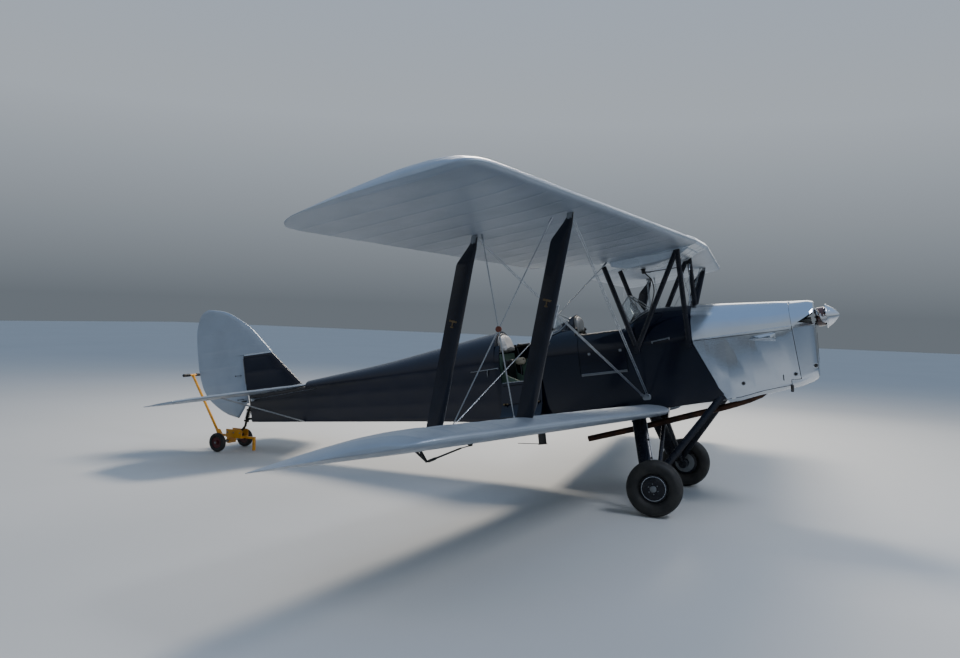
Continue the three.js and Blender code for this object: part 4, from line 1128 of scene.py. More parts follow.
# %% Strut fittings
def end_fitting(place, axis, size=1.0):
    """Cheeks and bolts at a strut end. The axis points from the wing into the strut."""
    place, axis = Vector(place), Vector(axis).normalized()
    made = [turned([(-.004, .026 * size), (.003, .026 * size), (.005, .020 * size)], place, axis, 20)]
    for out in (1, -1):
        cheek = place + axis * .026 * size + at(0, out * .0165 * size, 0)
        made.append(slab(cheek, axis, X, (.062 * size, .034 * size, .003), 0.3))
        made.append(turned([(0, .0075), (.006, .0075), (.0075, .0055)], cheek + at(0, out * .0015, 0),
                           (0, out, 0), 6))
    return made


ends = []
for foot, head in strut_places.values():
    axis = (head - foot).normalized()
    front_shift = at(strut_chord * .30, 0, 0)
    ends += end_fitting(head - axis * .018 + front_shift, -axis)
    ends += end_fitting(foot - at(0, 0, .014) + at(-.01, 0, 0), axis, 1.1)
fittings = [to_side(shape, side) for side, _ in SIDES for shape in ends]
joined("strut_fittings", fittings, "dull aluminium sheet")
print("struts made:", len(ends), "fitting shapes a side")

# %% [markdown]
# Streamlined bracing wires are rolled steel rods, flattened to a lens section, with a screwed
# round end that runs into a forked end fitting. A lens of ten points a ring is enough, because
# each wire is only a few pixels wide.

# %% Bracing wires
def flat_wire(start, end, wide=.0095, thick=.0036):
    start, end = Vector(start), Vector(end)
    length = (end - start).length
    axis = (end - start) / length
    aside = axis.cross(Vector(X)).normalized()
    fore = aside.cross(axis)
    neck = .11 / length
    rows = [(.035 / length, .0030, .0030), (neck, .0030, .0030), (neck * 1.6, wide / 2, thick / 2)]
    rows += [(1 - share, a, b) for share, a, b in reversed(rows)]
    rings = [[start.lerp(end, share) + fore * a * math.cos(math.tau * i / 10)
              + aside * b * math.sin(math.tau * i / 10) for i in range(10)] for share, a, b in rows]
    return loft(rings)


def fork_end(place, toward):
    """A forked end: a barrel on the wire and two small cheeks with a pin."""
    place, axis = Vector(place), (Vector(toward) - Vector(place)).normalized()
    across = axis.orthogonal().normalized()
    made = [turned([(.028, .0062), (.032, .0075), (.075, .0068), (.085, .0040)], place, axis, 10)]
    for out in (1, -1):
        made.append(slab(place + axis * .018 + across * out * .0048, axis, across.cross(axis),
                         (.040, .013, .0026), 0.3))
    made.append(turned([(-.009, .0045), (.009, .0045)], place + axis * .008, across, 8))
    return made


# %% Where the wires end
wire_in = strut_y - .048
beside_strut = .084


def root_fitting(x):
    return at(x, .327, -.478)


def upper_at(y, aft):
    return Vector(on_wing(upper_wing, y, aft, 0.0))


def lower_at(y, aft):
    return Vector(on_wing(lower_wing, y, aft, 0.030))


# columns: CAD node, start, end
wire_rows = [
    ("flying_wire_front", root_fitting(-.466), upper_at(wire_in, front_spar)),
    ("flying_wire_rear", root_fitting(-.498), upper_at(wire_in, rear_spar)),
    ("landing_wire", at(-.700, .348, .830), lower_at(wire_in, rear_spar)),
]
crossing = [
    (upper_at(strut_y, front_spar + beside_strut), lower_at(strut_y, rear_spar - beside_strut)),
    (upper_at(strut_y, rear_spar - beside_strut), lower_at(strut_y, front_spar + beside_strut)),
]
print("length of a landing wire:", round((wire_rows[2][1] - wire_rows[2][2]).length, 3))


# %% Wires between the wings
def double_wire(start, end, apart=.014):
    """Flying wires are doubled, one behind the other."""
    gap = at(apart / 2, 0, 0)
    shapes = []
    for shift_x in (gap, -gap):
        shapes += [flat_wire(start + shift_x, end + shift_x), *fork_end(start + shift_x, end + shift_x),
                   *fork_end(end + shift_x, start + shift_x)]
    return shapes


for side, word in SIDES:
    for name, start, end in wire_rows:
        single = name == "landing_wire"
        shapes = ([flat_wire(start, end), *fork_end(start, end), *fork_end(end, start)] if single
                  else double_wire(start, end))
        if name == "flying_wire_front":
            shapes.append(slab((-.480, .3165, -.478), X, Z, (.078, .052, .021), 0.25))
            shapes.append(slab((-.480, .330, -.478), X, Z, (.030, .050, .006), 0.3))
        joined(f"{name}_{word}", shapes, "drawn stainless steel", side, stands_for=[f"{name}_{word}"])
    shapes = []
    for start, end in crossing:
        shapes += [flat_wire(start, end), *fork_end(start, end), *fork_end(end, start)]
    joined(f"incidence_wires_{word}", shapes, "drawn stainless steel", side,
           stands_for=[f"incidence_wires_{word}"])
    # The red-brown fibre disc that keeps the crossing wires from chafing
    cross = (crossing[0][0] + crossing[0][1] + crossing[1][0] + crossing[1][1]) / 4
    disc = turned([(-.009, .012), (-.007, .021), (.007, .021), (.009, .012)], cross, Y, 20)
    piece(f"anti_chafe_disc_{word}", *to_side(disc, side), "red fibre")
print("wires on each side:", len(wire_rows) + len(crossing))

# %% Wires across the cabane
cabane_foot, cabane_head = at(-.030, .318, .02), at(-.030, .318, .850)
thin = []
for side in (PORT, STARBOARD):
    low_end = at(cabane_foot.x + .012, cabane_foot.y * side * .93, cabane_foot.z + .045)
    high_end = at(cabane_head.x, -cabane_head.y * side * .9, cabane_head.z - .09)
    thin += [flat_wire(low_end, high_end, .006, .003), *fork_end(low_end, high_end),
             *fork_end(high_end, low_end)]
joined("cabane_cross_wires", thin, "drawn stainless steel")
print("bracing wires made")

# %% [markdown]
# A windscreen is three flat panes of acrylic in a thin aluminium frame. The CAD solid stays as
# the panes, and a tube bent along their edges makes the frame.

# %% Windscreen frames
# columns: cockpit, x of the base, x of the top, height of the top
screens = [("front", -.395, -.585, .505), ("rear", -1.215, -1.375, .435)]
for cockpit, base, top, height in screens:
    edge_lines = []
    for side in (PORT, STARBOARD):
        high_mid, high_out = (top, side * .0955, height), (top - .060, side * .165, height - .09)
        rise = 0.0 if cockpit == "front" else .004
        feet = ((base - .003, side * .110), (base - .09, side * .162), (base - .176, side * .210))
        foot_line = [cast("front_fuselage", (x, y, .62), DOWN)[0] + at(0, 0, .006 + rise)
                     for x, y in feet]
        edge_lines.append([foot_line[0], foot_line[0].lerp(Vector(high_mid), .5), high_mid])
        edge_lines.append([high_mid, high_out])
        edge_lines.append([high_out, Vector(high_out).lerp(foot_line[2], .5), foot_line[2]])
        edge_lines.append(foot_line)
    edge_lines.append([(top, -.0955, height), (top, 0, height + .001), (top, .0955, height)])
    foot_mid = cast("front_fuselage", (base - .002, 0, .62), DOWN)[0] + at(0, 0, .005)
    edge_lines.append([edge_lines[0][0], foot_mid, edge_lines[4][0]])
    tubes(f"{cockpit}_windscreen_frame", edge_lines, .0052, "dull aluminium sheet", step=.02, sides=8)
print("windscreen frames made")

# %% [markdown]
# The nose carries small things that the eye looks for on a real cowling: turned catches that
# sit in shallow cups, a vertical slot, a cable hole, a breather pipe, and rows of flush rivets.
# The slot and the cable hole are flat black shapes laid on the panels: painted shade for their
# dark insides.
# They are placed by casting rays at the panels, and the rivets come from the heads tree.

# %% Catches, rivets and the cable hole
for side, word in SIDES:
    panel = f"cowl_side_{word}"
    cups, screws = [], []
    for x, z in ((.398, -.440), (.847, -.405)):
        place, way = cast(panel, (x, side * .6, z), (0, -side, 0))
        cups.append(turned([(-.001, .019), (.0015, .018), (.0022, .014), (.0010, .0125)], place, way, 20))
        screws.append(turned([(.0008, .0120), (.0032, .0110), (.0045, .0060)], place, way, 16))
        screws.append(slab(place + way * .0050, (.4, 0, -1), (1, 0, .4), (.020, .0045, .0030), 0.3))
    joined(f"catch_cups_{word}", cups, "dull aluminium sheet", body=f"cowl_flap_{word}")
    # The vertical slot is a flat black strip on the panel: painted shade for the slot's dark inside.
    place, way = cast(panel, (.742, side * .6, -.410), (0, -side, 0))
    screws.append(slab(place + way * .0006, Z, X, (.086, .0085, .0016), 0.4))
    joined(f"catch_heads_and_slot_shade_{word}", screws, "matt black paint", body=f"cowl_flap_{word}")
    edge_rows = [
        between((.02, side * .6, -.10), (.30, side * .6, -.53), 24),
        between((.845, side * .6, .00), (.862, side * .6, -.42), 24),
    ]
    lines, ways = [], []
    for starts in edge_rows:
        over_panel = [p for p in starts if trees[panel].ray_cast(p, at(0, -side, 0))[0]]
        points, facings = cast_line(panel, over_panel, (0, -side, 0), -.0004)
        lines.append(points)
        ways.append(facings)
    heads(f"panel_rivets_{word}", lines, ways, .045, .0036, .0011, "polished aluminium sheet",
          body=f"cowl_flap_{word}")
    hole, way = cast("cowl_nose", (1.020, side * .6, -.350), (0, -side, 0))
    ring = turned([(-.002, .0235), (.002, .0235), (.003, .021)], hole, way, 20)
    # A flat black disc stands for the cable hole: painted shade for its dark inside.
    hole_shade_disc = turned([(.0010, .0185), (.0034, .0185)], hole, way, 20)
    piece(f"cable_hole_{word}", *hole_shade_disc, "matt black paint")
    piece(f"cable_hole_ring_{word}", *ring, "polished aluminium sheet")
print("guide points down the front edge of a panel:", len(lines[-1]))

# %% Seams, breather and nose rivets
for side, word in SIDES:
    starts = [(x, side * .6, -.006) for x in steps(.016, .842, 14)]
    seam = cast_line(f"cowl_side_{word}", starts, (0, -side, 0), .0008)[0]
    tubes(f"hinge_seam_{word}", [seam], .0024, "stoved black enamel", body=f"cowl_flap_{word}", sides=8)
# The dark joint where the top cowl meets the nose cowl
top_joint_x, nose_rake = .867, -0.05
over_top = []
for turn in steps(math.radians(10), math.radians(170), 25):
    ray = at(0, math.cos(turn), math.sin(turn))
    height = cast("cowl_top", at(.850, 0, 0) + ray * .8, -ray)[0].z
    place, way = cast("cowl_top", at(top_joint_x + nose_rake * height, 0, 0) + ray * .8, -ray)
    over_top.append(place + way * .0004)
tubes("top_joint", [over_top], .0016, "stoved black enamel", sides=8)
breather = [at(.800, -.175, -.470), at(.803, -.195, -.520), at(.800, -.215, -.556)]
tubes("breather_pipe", [breather], .0135, "matt black paint", step=.01, sides=14)
seam_points, seam_ways = [], []
for x, z in ((.886, .02), (.894, -.10), (.900, -.22), (.906, -.34), (.911, -.44)):
    place, way = cast("cowl_nose", (x, -.6, z), Y)
    seam_points.append(place)
    seam_ways.append(way)
heads("nose_rivets", [seam_points, [at(p.x, -p.y, p.z) for p in seam_points]],
      [seam_ways, [at(w.x, -w.y, w.z) for w in seam_ways]], .04, .0034, .0010, "polished aluminium sheet")
print("cowling details made")

# %% [markdown]
# The propeller is glued from mahogany boards and carved, so its section changes smoothly from
# a thick oval at the hub to a thin blade at the tip. The table below is the CAD's own, and a
# smooth curve through each column gives forty rings a blade.

# %% Sections of a blade
prop_x, thrust_z, blade_length = 1.122, .077, .965
# columns: radius, chord, thickness, blade angle in degrees
blade_rows = [(.040, .080, .070, 62), (.150, .105, .046, 50), (.300, .135, .030, 36), (.520, .145, .021, 25),
              (.740, .125, .015, 19), (.890, .085, .010, 15), (.945, .048, .007, 14), (.965, .016, .004, 14)]
blade_chord, blade_thick, blade_turn = column_curves(blade_rows)


def blade_shape(side, stations, count=24):
    rings = []
    for radius in stations:
        angle = math.radians(blade_turn(radius)) * side
        wide, thick = blade_chord(radius) / 2, blade_thick(radius) / 2
        flat_back = min(max((radius - .15) / .2, 0), 1)
        ring = []
        for i in range(count):
            around = math.tau * i / count
            u, v = math.cos(around) * wide, math.sin(around) * thick
            if v < 0:
                v *= 1 - .55 * flat_back
            ring.append((prop_x + u * math.sin(angle) + v * math.cos(angle), side * radius,
                         thrust_z + u * math.cos(angle) - v * math.sin(angle)))
        rings.append(ring)
    return loft(rings)


print("blade chord at half length:", round(blade_chord(blade_length / 2), 3))

# %% Blades and hub
stations = [.04 + (blade_length - .04) * (1 - (1 - i / 39) ** 1.25) for i in range(40)]
hub_middle = (prop_x, 0, thrust_z)
wood_hub = turned([(-.045, .070), (-.043, .080), (-.036, .086), (.022, .087), (.029, .082), (.032, .074)],
                  hub_middle, X, 48)
joined("propeller_blades", [blade_shape(1, stations), blade_shape(-1, stations), wood_hub],
       "varnished mahogany", body="propeller_unit", stands_for=["propeller"])
print("rings a blade:", len(stations))

# %% Blade guards and flange
# Brass tips guard the outer leading edges
tip_stations = [.70 + .262 * i / 15 for i in range(16)]


def edge_guard(side):
    rings = []
    for radius in tip_stations:
        angle = math.radians(blade_turn(radius)) * side
        wide, thick = blade_chord(radius) / 2 + .0012, blade_thick(radius) / 2 + .0012
        ring = []
        for grow in (0, -.0011):
            turn_way = 1 if grow == 0 else -1
            for i in range(9):
                around = (math.pi * (-.36 + .72 * i / 8)) * turn_way
                u, v = math.cos(around) * (wide + grow), math.sin(around) * (thick + grow)
                if v < 0:
                    v *= .45
                ring.append((prop_x + u * math.sin(angle) + v * math.cos(angle), side * radius,
                             thrust_z + u * math.cos(angle) - v * math.sin(angle)))
        rings.append(ring)
    return loft(rings)


joined("blade_guards", [edge_guard(1), edge_guard(-1)], "turned brass", body="propeller_unit")
flange = turned([(-.0535, .030), (-.0535, .078), (-.0455, .078), (-.0455, .030)], hub_middle, X, 40)
hub_bolts = []
for k in range(8):
    angle = math.tau * k / 8
    spot = Vector(hub_middle) + at(-.0535, .058 * math.cos(angle), .058 * math.sin(angle))
    hub_bolts.append(turned([(-.0005, .0085), (-.008, .0085), (-.009, .006)], spot, X, 6))
joined("propeller_flange", [flange, *hub_bolts], "stoved black enamel", body="propeller_unit")
print("hub bolts:", len(hub_bolts))

# %% [markdown]
# The spinner is spun from aluminium on a lathe: a rolled ring at the back plate, then a cone
# with a slightly hollow side. The same lathe profile is turned into a body of sixty-four sides.

# %% Spinner
spinner_base = .03235
# columns: distance from the back plate, radius
spinner_profile = [(.0005, .060), (.0005, .104), (.0030, .1085), (.0090, .1090), (.0125, .1065),
                   (.0140, .1015), (.0170, .0985), (.030, .0905), (.050, .0770), (.068, .0620),
                   (.084, .0465), (.097, .0310), (.106, .0190), (.1115, .0095), (.1134, .0020)]
spinner_shape = turned([(spinner_base + a, r) for a, r in spinner_profile], hub_middle, X, 64)
piece("spinner_shell", *spinner_shape, "spun aluminium", body="propeller_unit", smooth=50,
      stands_for=["spinner"])
screw_line, screw_ways = [], []
for k in range(25):
    angle = math.tau * k / 24
    way = at(.25, math.cos(angle), math.sin(angle)).normalized()
    screw_line.append(Vector(hub_middle) + at(spinner_base + .0175, .0978 * math.cos(angle),
                                              .0978 * math.sin(angle)))
    screw_ways.append(way)
heads("spinner_screws", [screw_line], [screw_ways], .051, .0030, .0012, "dull aluminium sheet",
      body="propeller_unit")
print("propeller and spinner made")

# %% [markdown]
# A low-pressure tyre is a fat ring. Its profile is a rounded square, with three shallow tread
# grooves and a small ridge where it meets the rim. The hub is a dished navy cover with a thin
# bright ring, a valve, and a ring of nuts round the axle cap.

# %% Outline of a tyre
wheel_middle = at(-.410, .789, -1.2535)
tyre_centre, tyre_rise, tyre_wide = (.249 + .124) / 2, (.249 - .124) / 2, .085
grooves = [-.026, 0.0, .026]


def tyre_outline(count=72):
    rows = []
    for i in range(count):
        angle = math.tau * i / count
        c, s = math.cos(angle), math.sin(angle)
        power = 2 / 2.5
        across = math.copysign(abs(c) ** power, c) * tyre_wide
        radius = tyre_centre + math.copysign(abs(s) ** power, s) * tyre_rise
        for groove in grooves:
            if s > .5 and abs(across - groove) < .0032:
                radius -= .004
        rows.append((across, min(radius, .2488)))
    return rows


def turned_ring(rows, centre, segments):
    """A closed outline of distance across and radius, turned about the axle."""
    rings = []
    for k in range(segments):
        angle = math.tau * k / segments
        rings.append([Vector(centre) + at(radius * math.sin(angle), across, radius * math.cos(angle))
                      for across, radius in rows])
    points = [p for ring in rings for p in ring]
    count, faces = len(rows), []
    for k in range(segments):
        for i in range(count):
            j, n = (i + 1) % count, (k + 1) % segments
            faces.append((k * count + i, k * count + j, n * count + j, n * count + i))
    return points, faces


print("points of the tyre outline:", len(tyre_outline()))

# %% Tyres, covers and nuts
wheel_middles = {"left": wheel_middle, "right": at(wheel_middle.x, -wheel_middle.y, wheel_middle.z)}
# columns: out from the wheel's middle, radius
cover_rows = [(-.034, .1236), (-.038, .1225), (-.047, .090), (-.052, .0600), (-.052, .0205),
              (.052, .0205), (.052, .030), (.0535, .060), (.0475, .088), (.0410, .1085), (.0400, .1120),
              (.0385, .1225), (.034, .1236)]
for side, word in SIDES:
    middle = wheel_middles[word]
    body = f"main_wheel_{word}"
    piece(f"tyre_rubber_{word}", *turned_ring(tyre_outline(), middle, 96), "tyre rubber",
          body=body, smooth=28, stands_for=[f"tyre_{word}"])
    cover = [(a * side, r) for a, r in cover_rows]
    piece(f"wheel_cover_{word}", *turned_ring(cover, middle, 72), "navy enamel on steel",
          body=body, smooth=24, stands_for=[f"wheel_{word}"])
    bright = [(side * a, r) for a, r in ((.0405, .1080), (.0425, .1080), (.0428, .1045), (.0412, .1045))]
    inner = [(-side * a, r) for a, r in ((.0455, .0985), (.0475, .0985), (.0545, .0450), (.0525, .0450))]
    piece(f"wheel_ring_{word}", *turned_ring(bright, middle, 72), "polished aluminium sheet", body=body)
    piece(f"brake_side_{word}", *turned_ring(inner, middle, 60), "dull aluminium sheet", body=body)
    out = at(0, side, 0)
    cap = turned([(.0520, .030), (.0600, .029), (.0640, .022), (.0650, .008)], middle, out, 28)
    nuts = []
    for k in range(6):
        angle = math.tau * (k + .5) / 6
        spot = middle + at(.045 * math.cos(angle), 0, .045 * math.sin(angle))
        nuts.append(turned([(.052, .0062), (.0580, .0062), (.0592, .0045)], spot, out, 6))
    valve = turned([(.041, .0035), (.054, .0032), (.056, .002)], middle + at(.100, 0, -.045), out, 10)
    joined(f"wheel_nuts_{word}", [cap, *nuts, valve], "dull aluminium sheet", body=body)
print("wheels made")

# %% [markdown]
# The cockpit rims are edged with a leather-covered roll. It follows the rim right round, and
# the part over each door is a piece of its own that swings with the door. The rear starboard
# door stands open, so its pieces are drawn closed and then turned about the door's hinge.

# %% Cockpit rims
rim_half, rim_corner = .232, .110
# columns: cockpit, front end, rear end, door front, door rear
cockpits = [("front", -.550, -1.140, -.630, -1.095), ("rear", -1.450, -2.000, -1.500, -1.930)]
door_turn = (Matrix.Translation((0, -.306, -.204)) @ Matrix.Rotation(math.radians(165), 4, "X")
             @ Matrix.Translation((0, .306, .204)))


def rim_plan(front, rear, steps_round=9):
    """The rim seen from above, from the middle of the front round the port side to the middle of the rear."""
    points = [(front, 0.0), (front, (rim_half - rim_corner) * .6)]
    for i in range(steps_round):
        angle = math.pi / 2 * i / (steps_round - 1)
        points.append((front - rim_corner * (1 - math.cos(angle)),
                       rim_half - rim_corner * (1 - math.sin(angle))))
    points += [(front + (rear - front) * t, rim_half) for t in (.26, .32, .38, .45, .52, .59, .66, .73, .78)
               if rear + rim_corner < front + (rear - front) * t < front - rim_corner]
    for i in range(steps_round):
        angle = math.pi / 2 * (1 - i / (steps_round - 1))
        points.append((rear + rim_corner * (1 - math.cos(angle)),
                       rim_half - rim_corner * (1 - math.sin(angle))))
    points += [(rear, (rim_half - rim_corner) * .6), (rear, 0.0)]
    return points


def on_rim(x, y, front, rear):
    """The point of the roll above a rim point, or nothing over the gap beside a door."""
    inner = at(min(max(x, rear + rim_corner), front - rim_corner),
               min(max(y, rim_corner - rim_half), rim_half - rim_corner), 0)
    start = at(x, y, .9) + (at(x, y, 0) - inner).normalized() * .012
    heights = []
    for name in ("front_fuselage", "front_door_left", "rear_door_left"):
        cast_ready(name)
        place = trees[name].ray_cast(start, Vector(DOWN))[0]
        if place is not None and place.z > .10:
            heights.append(place.z)
    return at(x, y, min(max(heights), .345) + .003) if heights else None


def mirror(line):
    return [at(p.x, -p.y, p.z) for p in reversed(line)]


# %% Leather rolls on the rims and doors
roll_radius = .0135
for cockpit, front, rear, door_front, door_rear in cockpits:
    back_end = rear if cockpit == "front" else rear + .016
    found = [on_rim(x, y, front, back_end) for x, y in rim_plan(front, back_end)]
    whole = [p for p in found if p is not None]
    fore = [p for p in whole if p.x > door_front + .004]
    aft = [p for p in whole if p.x < door_rear - .004]
    door = [p for p in whole if door_rear + .010 < p.x < door_front - .010]
    lines = [mirror(fore) + fore[1:]]
    if cockpit == "front":
        aft = [p for p in aft if p.y > .135]
        lines += [aft, mirror(aft)]
    else:
        lines += [aft[:-2], mirror(aft[:-2])]
    tubes(f"{cockpit}_rim_roll", lines, roll_radius, "black leather", step=.012, sides=14)
    for side, word in SIDES:
        line = [at(p.x, side * p.y, p.z) for p in door]
        hangs_open = cockpit == "rear" and side == STARBOARD
        tubes(f"{cockpit}_door_roll_{word}", [line], roll_radius, "black leather", step=.012, sides=14,
              body=f"{cockpit}_door_unit_{word}", matrix=parked @ door_turn if hangs_open else parked)
print("rim rolls made")

# %% [markdown]
# Inside, the plywood is painted green. Thin panels line the walls and the doors, with the
# longeron and the upright frames standing proud, and a boarded floor in dark wood.

# %% Door linings and bolts
wall = .289


def line_doors(cockpit, door_front, door_rear):
    for side, word in SIDES:
        hangs_open = cockpit == "rear" and side == STARBOARD
        middle = (door_front + door_rear) / 2
        length = door_front - door_rear - .030
        shapes = [
            slab((middle, side * (wall - .0022), -.085), X, Z, (length, .185, .0024), .08),
            slab((middle, side * (wall - .010), -.180), X, Z, (length, .020, .014), .2),
            slab((middle, side * (wall - .010), .012), X, Z, (length, .018, .014), .2),
        ]
        # The door that hangs open is lined in dark navy instead of the green of the other doors: painted
        # shade on its face.
        inside = "navy enamel on plywood" if hangs_open else "cockpit green paint"
        place = {"body": f"{cockpit}_door_unit_{word}",
                 "frame_matrix": parked @ door_turn if hangs_open else parked}
        joined(f"{cockpit}_door_lining_{word}", shapes, inside, **place)
        catches = []
        for x in (door_front - .05, door_rear + .05):
            catches.append(slab((x, side * (wall - .018), .020), X, Z, (.060, .014, .006), .3))
            catches.append(turned([(0, .008), (.020, .007), (.024, .004)], (x, side * (wall - .020), .020),
                                  (0, -side, 0), 12))
        joined(f"{cockpit}_door_bolts_{word}", catches, "turned brass", **place)


# %% Wall linings and floor boards
frame_steps = {"front": (-.60, -.86, -1.13), "rear": (-1.46, -1.70, -1.955)}
for cockpit, front, rear, door_front, door_rear in cockpits:
    first, last = (-.530, -1.213) if cockpit == "front" else (-1.425, -1.985)
    shapes = []
    for side in (PORT, STARBOARD):
        inner = side * (wall - .0022)
        shapes.append(slab(((first + last) / 2, inner, -.395), X, Z,
                           (first - last - .004, .350, .0024), .01))
        for x in (first - .028, last + .028) if cockpit == "front" else (first - .028,):
            shapes.append(slab((x, inner, -.105), Z, X, (.185, .046, .0024), .02))
        for x in frame_steps[cockpit]:
            shapes.append(slab((x, side * (wall - .012), -.40), Z, X, (.350, .022, .018), .1))
        shapes.append(slab(((first + last) / 2, side * (wall - .013), -.228), X, Z,
                           (first - last - .01, .026, .020), .12))
    shapes.append(slab((last + .004, 0, -.20), Z, Y, (.60, .56, .003), .02))
    joined(f"{cockpit}_cockpit_lining", shapes, "cockpit green paint")
    boards = []
    for k in range(7):
        y = -.24 + .08 * k
        boards.append(slab(((first + last) / 2, y, -.577), X, Y,
                           (first - last - .03, .074, .012), .04))
    joined(f"{cockpit}_floor_boards", boards, "varnished mahogany")
    line_doors(cockpit, door_front, door_rear)
print("floor boards a cockpit:", len(boards))

# %% [markdown]
# Each instrument board carries a row of dials: a black bezel, a white-ticked black face and a
# white hand. One function draws a dial at a point, facing aft, and a table gives the places.

# %% One dial
def dial(x, y, z, radius, hand):
    """Bezel, face and white marks of a dial that faces aft."""
    centre, aft = at(x, y, z), (-1, 0, 0)
    bezel_rows = [(0, 1), (.006, 1), (.0085, .93), (.0085, .86), (.004, .84)]
    bezel = turned([(out, radius * share) for out, share in bezel_rows], centre, aft, 32)
    marks = [turned([(.0045, .003), (.0062, .0025)], centre, aft, 10)]
    for k in range(12):
        angle = math.tau * k / 12
        way = at(0, math.sin(angle), math.cos(angle))
        long = .20 if k % 3 == 0 else .12
        marks.append(slab(centre + way * radius * (.78 - long / 2) + at(-.0046, 0, 0), way, X,
                          (radius * long, .0009, .0016), .1))
    way = at(0, math.sin(hand), math.cos(hand))
    marks.append(slab(centre + way * radius * .28 + at(-.0054, 0, 0), way, X,
                      (radius * .60, .0009, .0022), .1))
    return bezel, marks


# %% Boards with their dials
# columns: across, up, radius, hand angle
dial_rows = [(-.155, .050, .040, .6), (-.052, .062, .048, 2.2), (.058, .062, .048, -.9),
             (.160, .050, .040, 1.4), (-.105, -.035, .028, .2), (0, -.038, .034, 3.0),
             (.105, -.035, .028, -2.0)]
for cockpit, board_x in (("front", -.5285), ("rear", -1.4235)):
    panel = [slab((board_x, 0, .020), Y, Z, (.46, .215, .003), .25)]
    joined(f"{cockpit}_instrument_board", panel, "matt black paint")
    bezels, marks = [], []
    for y, z, radius, hand in dial_rows:
        bezel, white = dial(board_x - .0016, y, z + .012, radius, hand)
        bezels.append(bezel)
        marks += white
    joined(f"{cockpit}_dials", bezels, "stoved black enamel")
    joined(f"{cockpit}_dial_marks", marks, "white dial paint")
print("dials:", 2 * len(dial_rows))

# %% Controls in the cockpits
for cockpit, stick_x in (("front", -.790), ("rear", -1.660)):
    low_end = at(stick_x, 0, -.566)
    stick = [low_end, at(stick_x + .004, 0, -.36), at(stick_x - .03, 0, -.12)]
    tubes(f"{cockpit}_stick", [stick], .0125, "stoved black enamel", step=.02, sides=12)
    top = stick[-1]
    grip = turned([(-.005, .014), (.01, .0175), (.06, .0165), (.11, .0185), (.125, .0175), (.133, .010)], top,
                  (-.10, 0, 1), 18)
    boot = turned([(-.012, .060), (.004, .056), (.02, .034), (.05, .020), (.08, .0145)], low_end, Z, 24)
    joined(f"{cockpit}_stick_grip", [grip, boot], "black leather")
    levers = [slab((stick_x + .13, .255, -.115), X, Z, (.130, .060, .030), .15)]
    for k, back in enumerate((-.012, .022)):
        root = at(stick_x + .13 + back, .238, -.105)
        knob = root + at(.030 - .05 * k, 0, .085)
        levers.append(drop_strut(root, knob, .012, .005))
        levers.append(turned([(-.012, .006), (-.006, .0115), (.006, .0115), (.012, .006)], knob, Y, 14))
    joined(f"{cockpit}_throttle", levers, "stoved black enamel")
    bar_x = stick_x + (.205 if cockpit == "front" else .175)
    pedals = [drop_strut((bar_x, -.20, -.50), (bar_x, .20, -.50), .034, .020)]
    for y in (-.165, .165):
        pedals.append(slab((bar_x - .004, y, -.478), (.3, 0, 1), Y, (.070, .075, .010), .2))
    joined(f"{cockpit}_rudder_bar", pedals, "dull aluminium sheet")
print("controls made")

# %% [markdown]
# The head pads, the seat cushions and the pad on the rear cockpit wall are leather over
# stuffing. Each starts as a slightly small solid, is remeshed evenly, and is blown up by the
# cloth simulation from inside. A cap on the movement keeps it clear of its neighbours, and
# the side that rests on wood is held flat. A piped seam is laid round the edge of each head pad afterwards.

# %% Padded pieces
def padded(name, shape, look, cap, flat, stands_for=(), voxel=.006):
    """Blows a small solid up into a pad. It rests on flat: a point, and the way that faces the pad."""
    mesh = solid_mesh(name, *shape, parked)
    stuffing = bpy.data.objects.new(name + "_stuffing", mesh)
    bpy.context.scene.collection.objects.link(stuffing)
    remesh = stuffing.modifiers.new("even", "REMESH")
    remesh.mode, remesh.voxel_size = "VOXEL", voxel
    even_mesh = evaluated_mesh(stuffing)
    stuffing.modifiers.clear()
    stuffing.data = even_mesh
    before = [v.co.copy() for v in even_mesh.vertices]
    after = before
    cloth = stuffing.modifiers.new("cloth", "CLOTH")
    cloth.settings.use_pressure = True
    cloth.settings.uniform_pressure_force = 4
    cloth.settings.effector_weights.gravity = 0
    for step_number in range(1, 21):
        bpy.context.scene.frame_set(step_number)
    swollen = stuffing.evaluated_get(bpy.context.evaluated_depsgraph_get()).to_mesh()
    after = [v.co.copy() for v in swollen.vertices]
    stuffing.modifiers.clear()
    bpy.context.scene.frame_set(1)
    stop, way = Vector(flat[0]), Vector(flat[1])
    for vertex, start, end in zip(even_mesh.vertices, before, after):
        move = end - start
        if move.length > cap:
            move *= cap / move.length
        place = level @ (start + move)
        depth = (place - stop).dot(way)
        if depth < 0:
            place -= way * depth
        vertex.co = parked @ place
    subdivided = stuffing.modifiers.new("finer", "SUBSURF")
    subdivided.levels = subdivided.render_levels = 1
    final = evaluated_mesh(stuffing)
    bpy.data.objects.remove(stuffing)
    made = settle(name, final, look, "airframe", 80, stands_for)
    return made


# %% Outlines and piping of the pads
def arch_outline(half, low_z, top_z, shoulder, count=18):
    """A pad seen from the front: straight foot, upright sides and a round head."""
    rows = [(-half * .93, low_z), (half * .93, low_z), (half, low_z + .015), (half, shoulder)]
    for i in range(1, count):
        angle = math.pi * i / count
        rows.append((half * math.cos(angle), shoulder + (top_z - shoulder) * math.sin(angle) ** .8))
    rows += [(-half, shoulder), (-half, low_z + .015)]
    return rows


def pad_block(outline, back_x, front_x, lean=0.0):
    """A pad between two planes. With a lean it is thicker at the foot than at the head."""
    foot, head = min(z for _, z in outline), max(z for _, z in outline)
    return loft([[(back_x, y, z) for y, z in outline],
                 [(front_x + lean * (head - z) / (head - foot), y, z) for y, z in outline]])


def piping(name, outline, x):
    line = [at(x, y, z) for y, z in outline]
    tubes(name, [line + [line[0]]], .0042, "pale grey leather", step=.012, sides=8)


